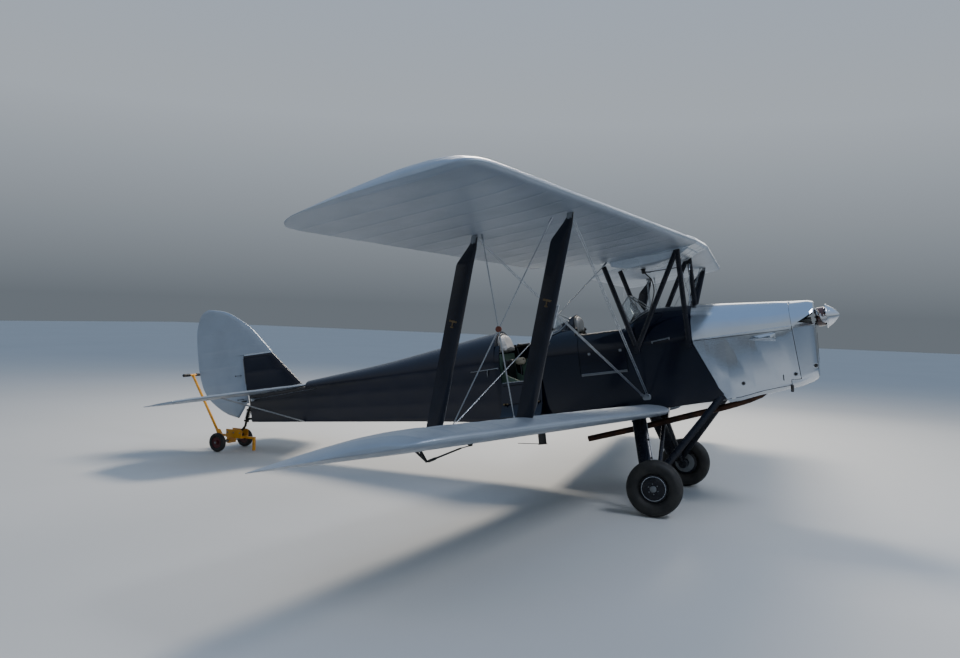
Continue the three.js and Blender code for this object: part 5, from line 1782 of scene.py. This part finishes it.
# %% Head pads, cushions and the wall pad
rear_pad = pad_block(arch_outline(.142, .122, .302, .200), -1.984, -1.962, 0.052)
padded("rear_head_pad", rear_pad, "pale grey leather", .012, ((-1.9895, 0, 0), X),
       stands_for=["rear_headrest"])
piping("rear_pad_piping", arch_outline(.147, .117, .307, .200), -1.984)
front_pad = pad_block(arch_outline(.106, .212, .380, .300), -1.154, -1.128)
padded("front_head_pad", front_pad, "pale grey leather", .012, ((-1.1595, 0, 0), X),
       stands_for=["front_headrest"])
piping("front_pad_piping", arch_outline(.111, .207, .385, .300), -1.153)
for cockpit, back_x in (("front", -1.201), ("rear", -1.976)):
    seat_x, seat_z = back_x + .195, -.331
    cushion = slab((seat_x, 0, seat_z + .036), X, Y, (.330, .310, .040), .12)
    padded(f"{cockpit}_seat_cushion", cushion, "black leather", .014, ((0, 0, seat_z + .0012), Z), voxel=.009)
    rest = slab((back_x + .030, 0, -.115), Z, Y, (.300, .300, .026), .12)
    padded(f"{cockpit}_back_cushion", rest, "black leather", .012, ((back_x + .0012, 0, 0), X), voxel=.009)
wall_pad = slab((-1.920, .272, .004), X, Z, (.120, .082, .016), .3)
padded("rear_wall_pad", wall_pad, "cream leather", .009, ((0, .2865, 0), (0, -1, 0)), voxel=.005)
print("padded pieces made")

# %% [markdown]
# Under the panels hangs an inverted four-cylinder engine: a crankcase on top, four finned
# barrels and heads below it, a bank of rocker covers, magnetos behind, and a tube mount. A fin
# is only a step in a lathe profile, so one profile with many steps makes a whole barrel.

# %% Engine
def finned(centre, low_z, high_z, core, fin, pitch_of_fins=.0125):
    """A barrel with cooling fins between two heights: distance along the axis, radius."""
    rows, z = [], low_z
    while z < high_z - pitch_of_fins:
        rows += [(z, core), (z + .0048, core), (z + .0052, fin), (z + .0078, fin), (z + .0082, core)]
        z += pitch_of_fins
    rows.append((high_z, core))
    return turned(rows, centre, Z, 28)


cylinder_xs = [.205, .365, .525, .685]
case_outline = [(-.085, -.07), (-.098, -.02), (-.090, .050), (-.045, .082),
                (.045, .082), (.090, .050), (.098, -.02), (.085, -.07)]
# columns: distance ahead of the firewall, width share, height share
case_rows = [(.125, .8, .8), (.145, 1, 1), (.790, 1, 1), (.850, .72, .8), (.965, .42, .5), (1.030, .40, .48)]
crankcase = [loft([[(x, y * wide, z * tall + .045) for y, z in case_outline] for x, wide, tall in case_rows])]
for x in cylinder_xs:
    crankcase.append(turned([(-.030, .074), (-.012, .076), (.010, .070)], (x, 0, 0), Z, 24))
for k in range(9):
    for side in (PORT, STARBOARD):
        place = (.160 + .077 * k, side * .0955, .020)
        crankcase.append(turned([(0, .007), (.010, .007), (.012, .004)], place, (0, side, 0), 6))
joined("crankcase", crankcase, "cast aluminium", stands_for=["engine_block"])
print("crankcase shapes:", len(crankcase))

# %% Barrels and heads
barrels = [finned((x, 0, 0), -.270, -.030, .056, .072) for x in cylinder_xs]
joined("cylinder_barrels", barrels, "stoved black enamel")
heads_cast = []
for x in cylinder_xs:
    heads_cast += [finned((x, .008, 0), -.345, -.272, .060, .078)]
    heads_cast.append(slab((x, 0, -.362), X, Y, (.120, .150, .030), .25))
    heads_cast.append(slab((x, .0, -.388), X, Y, (.095, .120, .026), .3))
joined("cylinder_heads", heads_cast, "cast aluminium")
print("cylinders:", len(barrels))

# %% Rods, pipes and leads
rods = []
for x in cylinder_xs:
    for back in (-.022, .022):
        rods.append([at(x + back, -.088, -.365), at(x + back, -.086, -.20), at(x + back, -.080, -.02)])
tubes("pushrod_tubes", rods, .0075, "dull aluminium sheet", step=.04, sides=10)
pipes = [[at(x, .070, -.330), at(x, .135, -.345), at(x - .03, .165, -.395)] for x in cylinder_xs]
pipes.append([at(.700, .165, -.392), at(.42, .170, -.398), at(.150, .165, -.402)])
tubes("inlet_pipes", pipes, .017, "dull aluminium sheet", step=.02, sides=14)
magnetos = []
for side in (PORT, STARBOARD):
    magnetos.append(turned([(-.055, .030), (-.045, .042), (.030, .042), (.045, .034), (.060, .020)],
                           (.085, side * .070, -.065), X, 20))
    magnetos.append(slab((.080, side * .070, -.020), X, Y, (.075, .060, .040), .2))
joined("magnetos", magnetos, "stoved black enamel")
leads = []
for i, x in enumerate(cylinder_xs):
    for side in (PORT, STARBOARD):
        leads.append([at(.090, side * .085, -.040), at(.16, side * (.105 + .004 * i), -.060 - .006 * i),
                      at(x - .05, side * .108, -.085 - .006 * i), at(x, side * .098, -.200),
                      at(x + .01, side * .082, -.300)])
tubes("plug_leads", leads, .0038, "matt black paint", step=.03, sides=8)
print("plug leads:", len(leads))

# %% Mount and oil tank
mount = []
for side in (PORT, STARBOARD):
    mount += [[at(.004, side * .235, -.060), at(.30, side * .108, -.030), at(.62, side * .104, -.010)],
              [at(.004, side * .225, -.470), at(.16, side * .165, -.25), at(.30, side * .108, -.040)]]
tubes("engine_mount", mount, .0125, "navy enamel on steel", step=.04, sides=12)
tank_outline = [(-.045, -.09), (.045, -.09), (.06, -.02), (.05, .08), (-.03, .09), (-.05, .03)]
tank_rows = [(.006, .9), (.016, 1), (.060, 1), (.070, .9)]
oil_tank = loft([[(x, .150 + y * share, -.300 + z * share) for y, z in tank_outline]
                 for x, share in tank_rows])
piece("oil_tank", *oil_tank, "polished aluminium sheet")
print("engine made")

# %% [markdown]
# The tank between the upper wings holds the petrol. On the real aircraft it is soldered sheet
# with a filler cap and a glass sight gauge on top, and a cock below with its lever rod and a
# pipe that runs down a cabane strut.

# %% Tank fittings
top_place = cast("fuel_tank", (-.20, .10, 1.4), DOWN)[0]
cap_rows = [(-.004, .046), (.010, .046), (.013, .040), (.013, .034), (.026, .034), (.030, .028), (.031, .010)]
cap = turned(cap_rows, top_place, Z, 32)
gauge_place = cast("fuel_tank", (-.20, -.12, 1.4), DOWN)[0]
gauge_rows = [(-.004, .024), (.006, .024), (.010, .012), (.085, .011), (.090, .006)]
gauge = turned(gauge_rows, gauge_place, Z, 20)
vent = [top_place + at(-.13, 0, -.004), top_place + at(-.13, 0, .03), top_place + at(-.10, 0, .045)]
joined("tank_cap_and_gauge", [cap, gauge], "turned brass")
tubes("tank_vent", [vent], .006, "silver enamel on sheet metal", step=.01, sides=10)
print("height of the tank's top:", round(top_place.z, 3))

# %% Rivets and seams of the tank
lines, ways = [], []
for y in (-.318, -.10, .10, .318):
    row = [(x, y, 1.4) for x in (.10, .04, -.06, -.20, -.36, -.52, -.66)]
    points, facings = cast_line("fuel_tank", row, DOWN)
    lines.append(points)
    ways.append(facings)
heads("tank_rivets", lines, ways, .032, .0030, .0012, "silver enamel on sheet metal")
seams = []
for y in (-.10, .10):
    row = [(x, y + .012, 1.4) for x in (.12, .04, -.06, -.20, -.36, -.52, -.68)]
    seams.append(cast_line("fuel_tank", row, DOWN, .0006)[0])
tubes("tank_seams", seams, .0022, "silver enamel on sheet metal", step=.03, sides=8)
print("rows of rivets:", len(lines))

# %% Fuel cock and its pipe
cock_rows = [(-.030, .014), (-.022, .020), (.006, .020), (.012, .026), (.022, .026)]
cock = [turned(cock_rows, (-.430, 0, .735), Z, 16),
        drop_strut((-.430, .0, .722), (-.360, .0, .712), .012, .008),
        turned([(-.35, .0042), (0, .0042)], (-.080, 0, .716), X, 10)]
joined("fuel_cock", cock, "stoved black enamel")
pipe_line = [Vector(p) for p in ((-.43, 0, .728), (-.40, -.02, .690), (-.345, -.08, .625), (-.315, -.19, .50),
                                 (-.352, -.285, .34), (-.412, -.302, .20), (-.470, -.306, .06))]
tubes("fuel_pipe", [pipe_line], .0058, "stoved black enamel", step=.02, sides=10)
print("tank fittings made")

# %% [markdown]
# The wing roots carry a black non-slip walkway, laid on the covering so that it follows the
# curve of the wing. Under each aileron a horn takes a push rod from the crank in the wing.

# %% Horns, cranks and push rods
def aileron_controls(side, word):
    horn_low = at(-1.512, side * 2.90, -.640)
    cheeks = []
    for out in (-.012, .012):
        for top_x in (-1.560, -1.600):
            top_point = cast(f"aileron_{word}", (top_x, side * 2.90, -.80), Z)[0]
            cheeks.append(drop_strut(horn_low + at(0, out * .5, 0), top_point + at(0, out, .004), .012, .004))
    cheeks.append(turned([(-.014, .0055), (.014, .0055)], horn_low, Y, 10))
    joined(f"aileron_horn_{word}", cheeks, "navy enamel on steel", body=f"aileron_unit_{word}")
    crank_place, crank_way = cast(f"lower_wing_{word}", (-1.345, side * 2.50, -.80), Z)
    rod_end = crank_place + crank_way * .020 + at(-.055, side * .055, -.008)
    crank = [turned([(-.002, .070), (.004, .070), (.007, .062)], crank_place, crank_way, 32),
             turned([(0, .020), (.020, .018), (.026, .010)], crank_place, crank_way, 16),
             drop_strut(crank_place + crank_way * .018, rod_end, .020, .007)]
    joined(f"aileron_crank_{word}", crank, "greased olive steel")
    short = horn_low.lerp(rod_end, .05)
    push = [turned([(0, .0068), ((rod_end - short).length, .0068)], short, rod_end - short, 12),
            turned([(0, .0105), (.070, .0105), (.080, .007)], short, rod_end - short, 12)]
    joined(f"aileron_push_rod_{word}", push, "stoved black enamel")
    return (rod_end - short).length


# %% Walkways
def laid_strip(y_start, y_end, first, last, rise, thick, count=14):
    """A thin sheet that lies on the upper skin of the lower wing."""
    along = fractions(first, last, count)
    rings = []
    for y in steps(y_start, y_end, 9):
        back, full, _ = section_size(lower_wing, y, 0)
        ring = []
        for rows, lift in ((along, rise + thick), (along[::-1], rise)):
            for f in rows:
                plain = foil_top(math.sqrt(f)) * full
                ring.append(on_wing(lower_wing, y, back + f * full, plain + lift))
        rings.append(ring)
    return loft(rings)


for side, word in SIDES:
    grit = laid_strip(.312, .585, .30, .965, .0002, .0016)
    joined(f"walkway_{word}", [grit], "walkway grit", side)
    trims = [laid_strip(.3115, .318, .28, .97, .0010, .0020), laid_strip(.583, .590, .28, .97, .0004, .0020)]
    joined(f"walkway_edges_{word}", trims, "dull aluminium sheet", side)
    rod_length = aileron_controls(side, word)
print("length of a push rod:", round(rod_length, 3))

# %% [markdown]
# The side of the fuselage carries a latch bar, small square fittings, a stay along the rear
# decking and a piano hinge under each door. A mast and a rod aerial stand under the belly.

# %% Bars, squares and studs
side_y = .3065
bright = []
for side in (PORT, STARBOARD):
    bar = [at(-.369, side * (side_y + .012), .033), at(-.207, side * (side_y + .012), .051)]
    bright.append(drop_strut(bar[0], bar[1], .006, .012, ahead=Y))
    for end in bar:
        bright.append(slab(end - at(0, side * .006, .006), Y, X, (.014, .012, .026), .2))
    for x, z in ((-.990, -.012), (-.682, -.009)):
        stud = [(0, .006), (.006, .005), (.008, .003)]
        bright.append(slab((x, side * (side_y + .002), z), X, Z, (.026, .024, .004), .15))
        bright.append(turned(stud, (x, side * (side_y + .004), z), (0, side, 0), 12))
joined("side_fittings", bright, "dull aluminium sheet")
print("bright shapes:", len(bright))

# %% Stays, door hinges and the belly mast
stays = []
for side in (PORT, STARBOARD):
    stays.append([at(-2.267, side * (half_width(-2.267) + .010), -.055),
                  at(-2.10, side * (half_width(-2.10) + .012), -.050),
                  at(-1.945, side * (side_y + .011), -.044)])
    stays.append([at(-2.070, side * (half_width(-2.07) + .011), -.050),
                  at(-2.078, side * (half_width(-2.08) + .008), -.090),
                  at(-2.080, side * (half_width(-2.08) - .003), -.120)])
    for x in (-2.255, -1.955):
        edge = half_width(x) if x < split_x else split_half
        stays.append([at(x, side * (edge + .010), -.051), at(x, side * (edge - .004), -.052)])
tubes("side_stays", stays, .0052, "dull aluminium sheet", step=.02, sides=10)
for cockpit, front, rear, door_front, door_rear in cockpits:
    shapes = []
    for side in (PORT, STARBOARD):
        shapes.append(slab(((door_front + door_rear) / 2, side * (side_y + .0006), -.214), X, Z,
                           (door_front - door_rear - .01, .014, .0016), .1))
        shapes.append(turned([(0, .0062), (door_front - door_rear - .012, .0062)],
                             (door_rear + .006, side * .306, -.204), X, 14))
    joined(f"{cockpit}_door_hinge_strips", shapes, "dull aluminium sheet")
mast = [drop_strut((-1.645, -.100, -.590), (-1.648, -.100, -.862), .085, .018),
        slab((-1.645, -.100, -.597), X, Y, (.130, .050, .006), .3),
        slab((-1.648, -.100, -.863), X, Y, (.100, .022, .006), .3)]
joined("belly_mast", mast, "stoved black enamel")
tubes("belly_rod", [[at(-1.660, -.100, -.860), at(-1.80, -.100, -.846), at(-1.917, -.100, -.834)]],
      .0035, "stoved black enamel", step=.03, sides=8)
print("stays:", len(stays))

# %% Screws of the plywood box
rows, ways = [], []
for side in (PORT, STARBOARD):
    for start, end in (((-.030, -.535), (-.030, -.070)), ((-.050, -.552), (-.420, -.560)),
                       ((-.055, -.055), (-.470, -.048)), ((-1.965, -.535), (-1.965, -.235)),
                       ((-1.160, -.560), (-1.930, -.560)), ((-1.230, -.535), (-1.230, .060))):
        starts = [(x, side * .7, z) for x, _, z in between((start[0], 0, start[1]), (end[0], 0, end[1]), 12)]
        points, facings = cast_line("front_fuselage", starts, (0, -side, 0))
        rows.append(points)
        ways.append(facings)
heads("side_screws", rows, ways, .052, .0034, .0013, "navy enamel on steel")
deck_rows, deck_ways = [], []
for x in (-.045, -.470, -1.250):
    starts = [(x, .20 * math.sin(a), 1.0) for a in steps(-1.2, 1.2, 15)]
    points, facings = cast_line("front_fuselage", starts, DOWN)
    deck_rows.append(points)
    deck_ways.append(facings)
heads("deck_screws", deck_rows, deck_ways, .045, .0034, .0013, "navy enamel on steel")
print("rows of screws:", len(rows) + len(deck_rows))

# %% [markdown]
# A bundle of air-speed pipes runs down the inner face of the starboard front strut, held by
# dark clips. It is two thin tubes through the same few points.

# %% Air-speed pipes
pipe_points = [Vector(p) for p in ((-.430, -2.832, .330), (-.470, -2.812, .250), (-.500, -2.806, .175),
                                   (-.546, -2.806, .086), (-.600, -2.808, -.040), (-.643, -2.808, -.163),
                                   (-.700, -2.808, -.270), (-.752, -2.812, -.372), (-.778, -2.822, -.448))]
pair = [[p + at(offset, 0, 0) for p in pipe_points] for offset in (.006, -.006)]
tubes("air_speed_pipes", pair, .0052, "white pipe enamel", step=.03, sides=10)
clips = []
for i in (2, 3, 5, 7):
    clips.append(slab(pipe_points[i] + at(-.004, -.006, 0), X, Y, (.044, .036, .016), .2))
joined("pipe_clips", clips, "matt black paint")
print("pipe clips:", len(clips))

# %% [markdown]
# The legs carry a white brake pipe on the front edge, whose white also paints the light line
# that the edge catches: a painted highlight. They carry clips too. The axle knuckle has a ring of
# bolts and the rubber boot of the shock strut shows as ribbed rings near the top of each leg.

# %% Gear fittings
for side, word in SIDES:
    high_leg, low_leg = at(-.592, .300, -.620), at(-.487, .640, -1.182)
    front_edge_line = [high_leg.lerp(low_leg, t) + at(.0695 if t < .9 else .060, 0, .004) for t in
                       (.06, .2, .4, .6, .8, .93)]
    front_edge_line.append(low_leg + at(.050, .010, -.040))
    line = [at(p.x, side * p.y, p.z) for p in front_edge_line]
    # The white pipe down the front edge is partly the pipe and partly a painted highlight on the edge.
    tubes(f"brake_pipe_{word}", [line], .0036, "white pipe enamel", step=.03, sides=8)
    shapes = []
    for share in (.16, .44, .72):
        middle = high_leg.lerp(low_leg, share)
        shapes.append(slab(middle + at(.056, 0, 0), low_leg - high_leg, X, (.018, .030, .034), .2))
    for x, z in ((.022, .022), (-.022, .022), (.022, -.022), (-.022, -.022)):
        shapes.append(turned([(0, .0065), (.012, .0065), (.014, .004)], (-.410 + x, .690, -1.2535 + z), Y, 6))
    for share in (.03, .055, .08, .105):
        middle = high_leg.lerp(low_leg, share)
        shapes.append(drop_strut(middle, middle + (low_leg - high_leg).normalized() * .009, .142, .062))
    joined(f"leg_fittings_{word}", shapes, "stoved black enamel", side)
print("gear fittings made")

# %% [markdown]
# The tail is parked on a hand dolly. It is drawn on the level floor: black grips, a grey axle,
# solid tyres with dark red hubs, and bolt heads and gussets on the yellow frame.

# %% Dolly frame
def on_dolly(name, shapes, look, **more):
    return joined(name, shapes, look, frame_matrix=on_floor, **more)


dolly_radius, dolly_y = .112, .248
grips = []
for side in (PORT, STARBOARD):
    ridge_rows = ((0, .0188), (.006, .0188), (.008, .0172), (.010, .0172))
    rows = [(.052, .0150)]
    for i in range(8):
        rows += [(.056 + .012 * i + d, r) for d, r in ridge_rows]
    rows += [(.155, .0188), (.163, .0180), (.168, .010)]
    grips.append(turned(rows, (-6.135, 0, .865), (0, side, 0), 20))
on_dolly("dolly_grips", grips, "black leather")
on_dolly("dolly_axle", [turned([(-.214, .0145), (.214, .0145)], (dolly_x, 0, dolly_radius), Y, 18)],
         "dull aluminium sheet")
bolts = []
for side in (PORT, STARBOARD):
    for x in (-5.520, -5.430, -5.340):
        bolts.append(turned([(0, .009), (.007, .009), (.009, .006)], (x, side * .062, .212), (0, side, 0), 6))
    axle_end = (dolly_x, side * .283, dolly_radius)
    bolts.append(turned([(0, .013), (.010, .013), (.013, .008)], axle_end, (0, side, 0), 6))
bolts.append(turned([(-.030, .010), (.030, .010)], (-5.700, 0, .172), Y, 10))
on_dolly("dolly_bolts", bolts, "dull aluminium sheet")
gussets = [slab((-5.700, 0, .180), (-.53, 0, .85), Y, (.090, .052, .040), .2),
           slab((-5.512, 0, .125), Y, X, (.150, .052, .006), .15),
           turned([(-.012, .0195), (.012, .0195)], (-6.128, 0, .853), (-.53, 0, .85), 16)]
on_dolly("dolly_gussets", gussets, "yellow enamel")
print("dolly bolts:", len(bolts))

# %% Dolly wheels
for side, word in SIDES:
    middle = at(dolly_x, side * dolly_y, dolly_radius)
    rows = []
    for i in range(40):
        angle = math.tau * i / 40
        c, s = math.cos(angle), math.sin(angle)
        rows.append((math.copysign(abs(c) ** .8, c) * .0295, .088 + math.copysign(abs(s) ** .8, s) * .0238))
    points, faces = turned_ring(rows, middle, 64)
    on_dolly(f"dolly_tyre_{word}", [(points, faces)], "tyre rubber", body=f"dolly_roller_{word}",
             stands_for=[f"dolly_wheel_{word}"])
    hub_rows = [(-.024, .0655), (-.016, .0600), (-.014, .0300), (-.029, .0240), (-.029, .0100), (.029, .0100),
                (.029, .0240), (.014, .0300), (.016, .0600), (.024, .0655)]
    on_dolly(f"dolly_hub_{word}", [turned_ring(hub_rows, middle, 48)], "dark red enamel",
             body=f"dolly_roller_{word}")
print("dolly made")

# %% [markdown]
# At the stern are the rudder horns with their cables, a bright strip on the fin post, and the
# skid's spring between two collars. The spring is one line of points that turns round the leg.

# %% Tail fittings
horns = []
for z in (.228, -.060):
    for side in (PORT, STARBOARD):
        horns.append(slab((-5.425, side * .052, z), (-.3, side, 0), X, (.085, .026, .006), .3))
        horns.append(turned([(-.008, .006), (.008, .006)], (-5.438, side * .088, z), Z, 10))
horns.append(slab((-5.412, 0, -.085), X, Z, (.090, .020, .0505), .05))
joined("rudder_horns", horns, "stoved black enamel", body="rudder_unit")
piece("fin_post_strip", *slab((-5.352, 0, .275), Z, X, (.300, .010, .0505), .05),
      "dull aluminium sheet")
tail_wires = []
for side in (PORT, STARBOARD):
    cable_start = at(-4.300, side * (half_width(-4.30) + .004), -.030)
    cable_end = at(-5.250, side * .062, -.072)
    tail_wires.append(turned([(0, .0026), ((cable_end - cable_start).length, .0026)], cable_start,
                             cable_end - cable_start, 8))
    tail_wires.append(turned([(0, .006), (.05, .0065), (.06, .004)], cable_end, cable_start - cable_end, 10))
    tail_wires.append(slab((-5.255, side * .044, -.074), X, Z, (.050, .040, .030), .2))
joined("tail_wires", tail_wires, "drawn stainless steel")
leg_top, leg_end = at(-5.340, 0, -.150), at(-5.4435, 0, -.383)
leg_axis = (leg_end - leg_top).normalized()
across = leg_axis.orthogonal().normalized()
third = leg_axis.cross(across)
coil = []
for i in range(129):
    angle = math.tau * i / 16
    outward = across * math.cos(angle) + third * math.sin(angle)
    coil.append(leg_top + leg_axis * (.060 + .115 * i / 128) + outward * .0245)
tubes("skid_spring", [coil], .0036, "greased olive steel", step=.006, sides=8)
collars = [turned([(.040, .018), (.044, .031), (.056, .031), (.058, .018)], leg_top, leg_axis, 20),
           turned([(.178, .018), (.180, .031), (.192, .031), (.198, .018)], leg_top, leg_axis, 20)]
joined("skid_collars", collars, "greased olive steel")
print("tail fittings made")

# %% [markdown]
# The camera was fitted to the photograph: where it stood, which way it looked, how it leaned.

# %% Camera
yaw, dip, lean = math.radians(23.385), math.radians(0.967), math.radians(-1.801)
forward = at(-math.sin(yaw) * math.cos(dip), math.cos(yaw) * math.cos(dip), -math.sin(dip))
rightward = forward.cross(Vector(Z)).normalized()
downward = forward.cross(rightward)
leaned_right = math.cos(lean) * rightward + math.sin(lean) * downward
leaned_down = -math.sin(lean) * rightward + math.cos(lean) * downward
camera_data = bpy.data.cameras.new("camera")
focal_pixels, picture_pixels, sensor_width = 845.76, 960, 36
camera_data.sensor_width = sensor_width
camera_data.lens = focal_pixels / picture_pixels * sensor_width
camera = bpy.data.objects.new("camera", camera_data)
bpy.context.scene.collection.objects.link(camera)
turn = Matrix((leaned_right, -leaned_down, -forward)).transposed()
camera.matrix_world = Matrix.Translation((1.296 + shift, -8.236, 1.726)) @ turn.to_4x4()
bpy.context.scene.camera = camera
print("camera at:", [round(c, 3) for c in camera.matrix_world.translation])

# %% [markdown]
# The floor lies just under the wheels and is nearly white, so that it lights the machine from
# below as dry ground does. The sky runs from a grey horizon through a pale band to a soft blue
# overhead, which draws the long bands that polished metal shows outdoors.

# %% Floor
floor_half, floor_z = 60, -0.003
floor_mesh = bpy.data.meshes.new("floor")
corners = [(x * floor_half, y * floor_half, floor_z) for x, y in ((-1, -1), (1, -1), (1, 1), (-1, 1))]
floor_mesh.from_pydata(corners, [], [(0, 1, 2, 3)])
floor = bpy.data.objects.new("floor", floor_mesh)
bpy.context.scene.collection.objects.link(floor)
floor_mesh.materials.append(finish("pale studio floor", "bcbcb9", 0.85, 0.3, worn="b4b4b1", patch=3.0,
                                   grain=0.01))
print("floor at:", floor_z)

# %% Sky
world = bpy.data.worlds.new("studio")
bpy.context.scene.world = world
world.use_nodes = True
sky = world.node_tree
sky_way = add(sky, "ShaderNodeTexCoord").outputs["Generated"]
sky_rise = add(sky, "ShaderNodeSeparateXYZ", {"Vector": sky_way}).outputs[2]
low_sky = mixed(sky, ramped(sky, sky_rise, 0.01, 0.22), linear("757d85"), linear("c0c9d3"))
sky_tint = mixed(sky, ramped(sky, sky_rise, 0.25, 0.85), low_sky, linear("9fbfea"))
background = sky.nodes["Background"]
sky.links.new(sky_tint, background.inputs[0])
sky_strength = 0.8
background.inputs[1].default_value = sky_strength
print("sky strength:", sky_strength)

# %% Lamps
# columns: name, place, aim, width, watts, colour
lamps = [
    ("key", (-1.5, 6.5, 9.5), (0.5, 0, 0.5), 3.0, 1500, "fff4e4"),
    ("nose strip", (6.5, -1.5, 6.5), (2.6, 0, 1.6), 2.0, 240, "eef3ff"),
    ("fill", (0.0, -9.0, 6.5), (0.5, 0, 1.0), 6.0, 160, "eef3ff"),
    ("far glow", (2.6, 8.5, 5.0), (2.4, 0, 1.6), 4.5, 130, "fffaf0"),
]
# The fill lifts the near side without a bright square in the polished metal.
# The far glow is seen only in the metal, as the bright edge along the top of the nose.
unseen_in_metal, unseen_by_camera = {"fill"}, {"far glow"}
for name, spot, aim, width, watts, colour in lamps:
    light = bpy.data.lights.new(name, "AREA")
    light.size, light.energy, light.color = width, watts, linear(colour)[:3]
    lamp = bpy.data.objects.new(name, light)
    bpy.context.scene.collection.objects.link(lamp)
    lamp.location = spot
    lamp.rotation_euler = (Vector(aim) - Vector(spot)).to_track_quat("-Z", "Y").to_euler()
    lamp.visible_glossy = name not in unseen_in_metal
    lamp.visible_camera = name not in unseen_by_camera
print("lamps:", len(lamps))
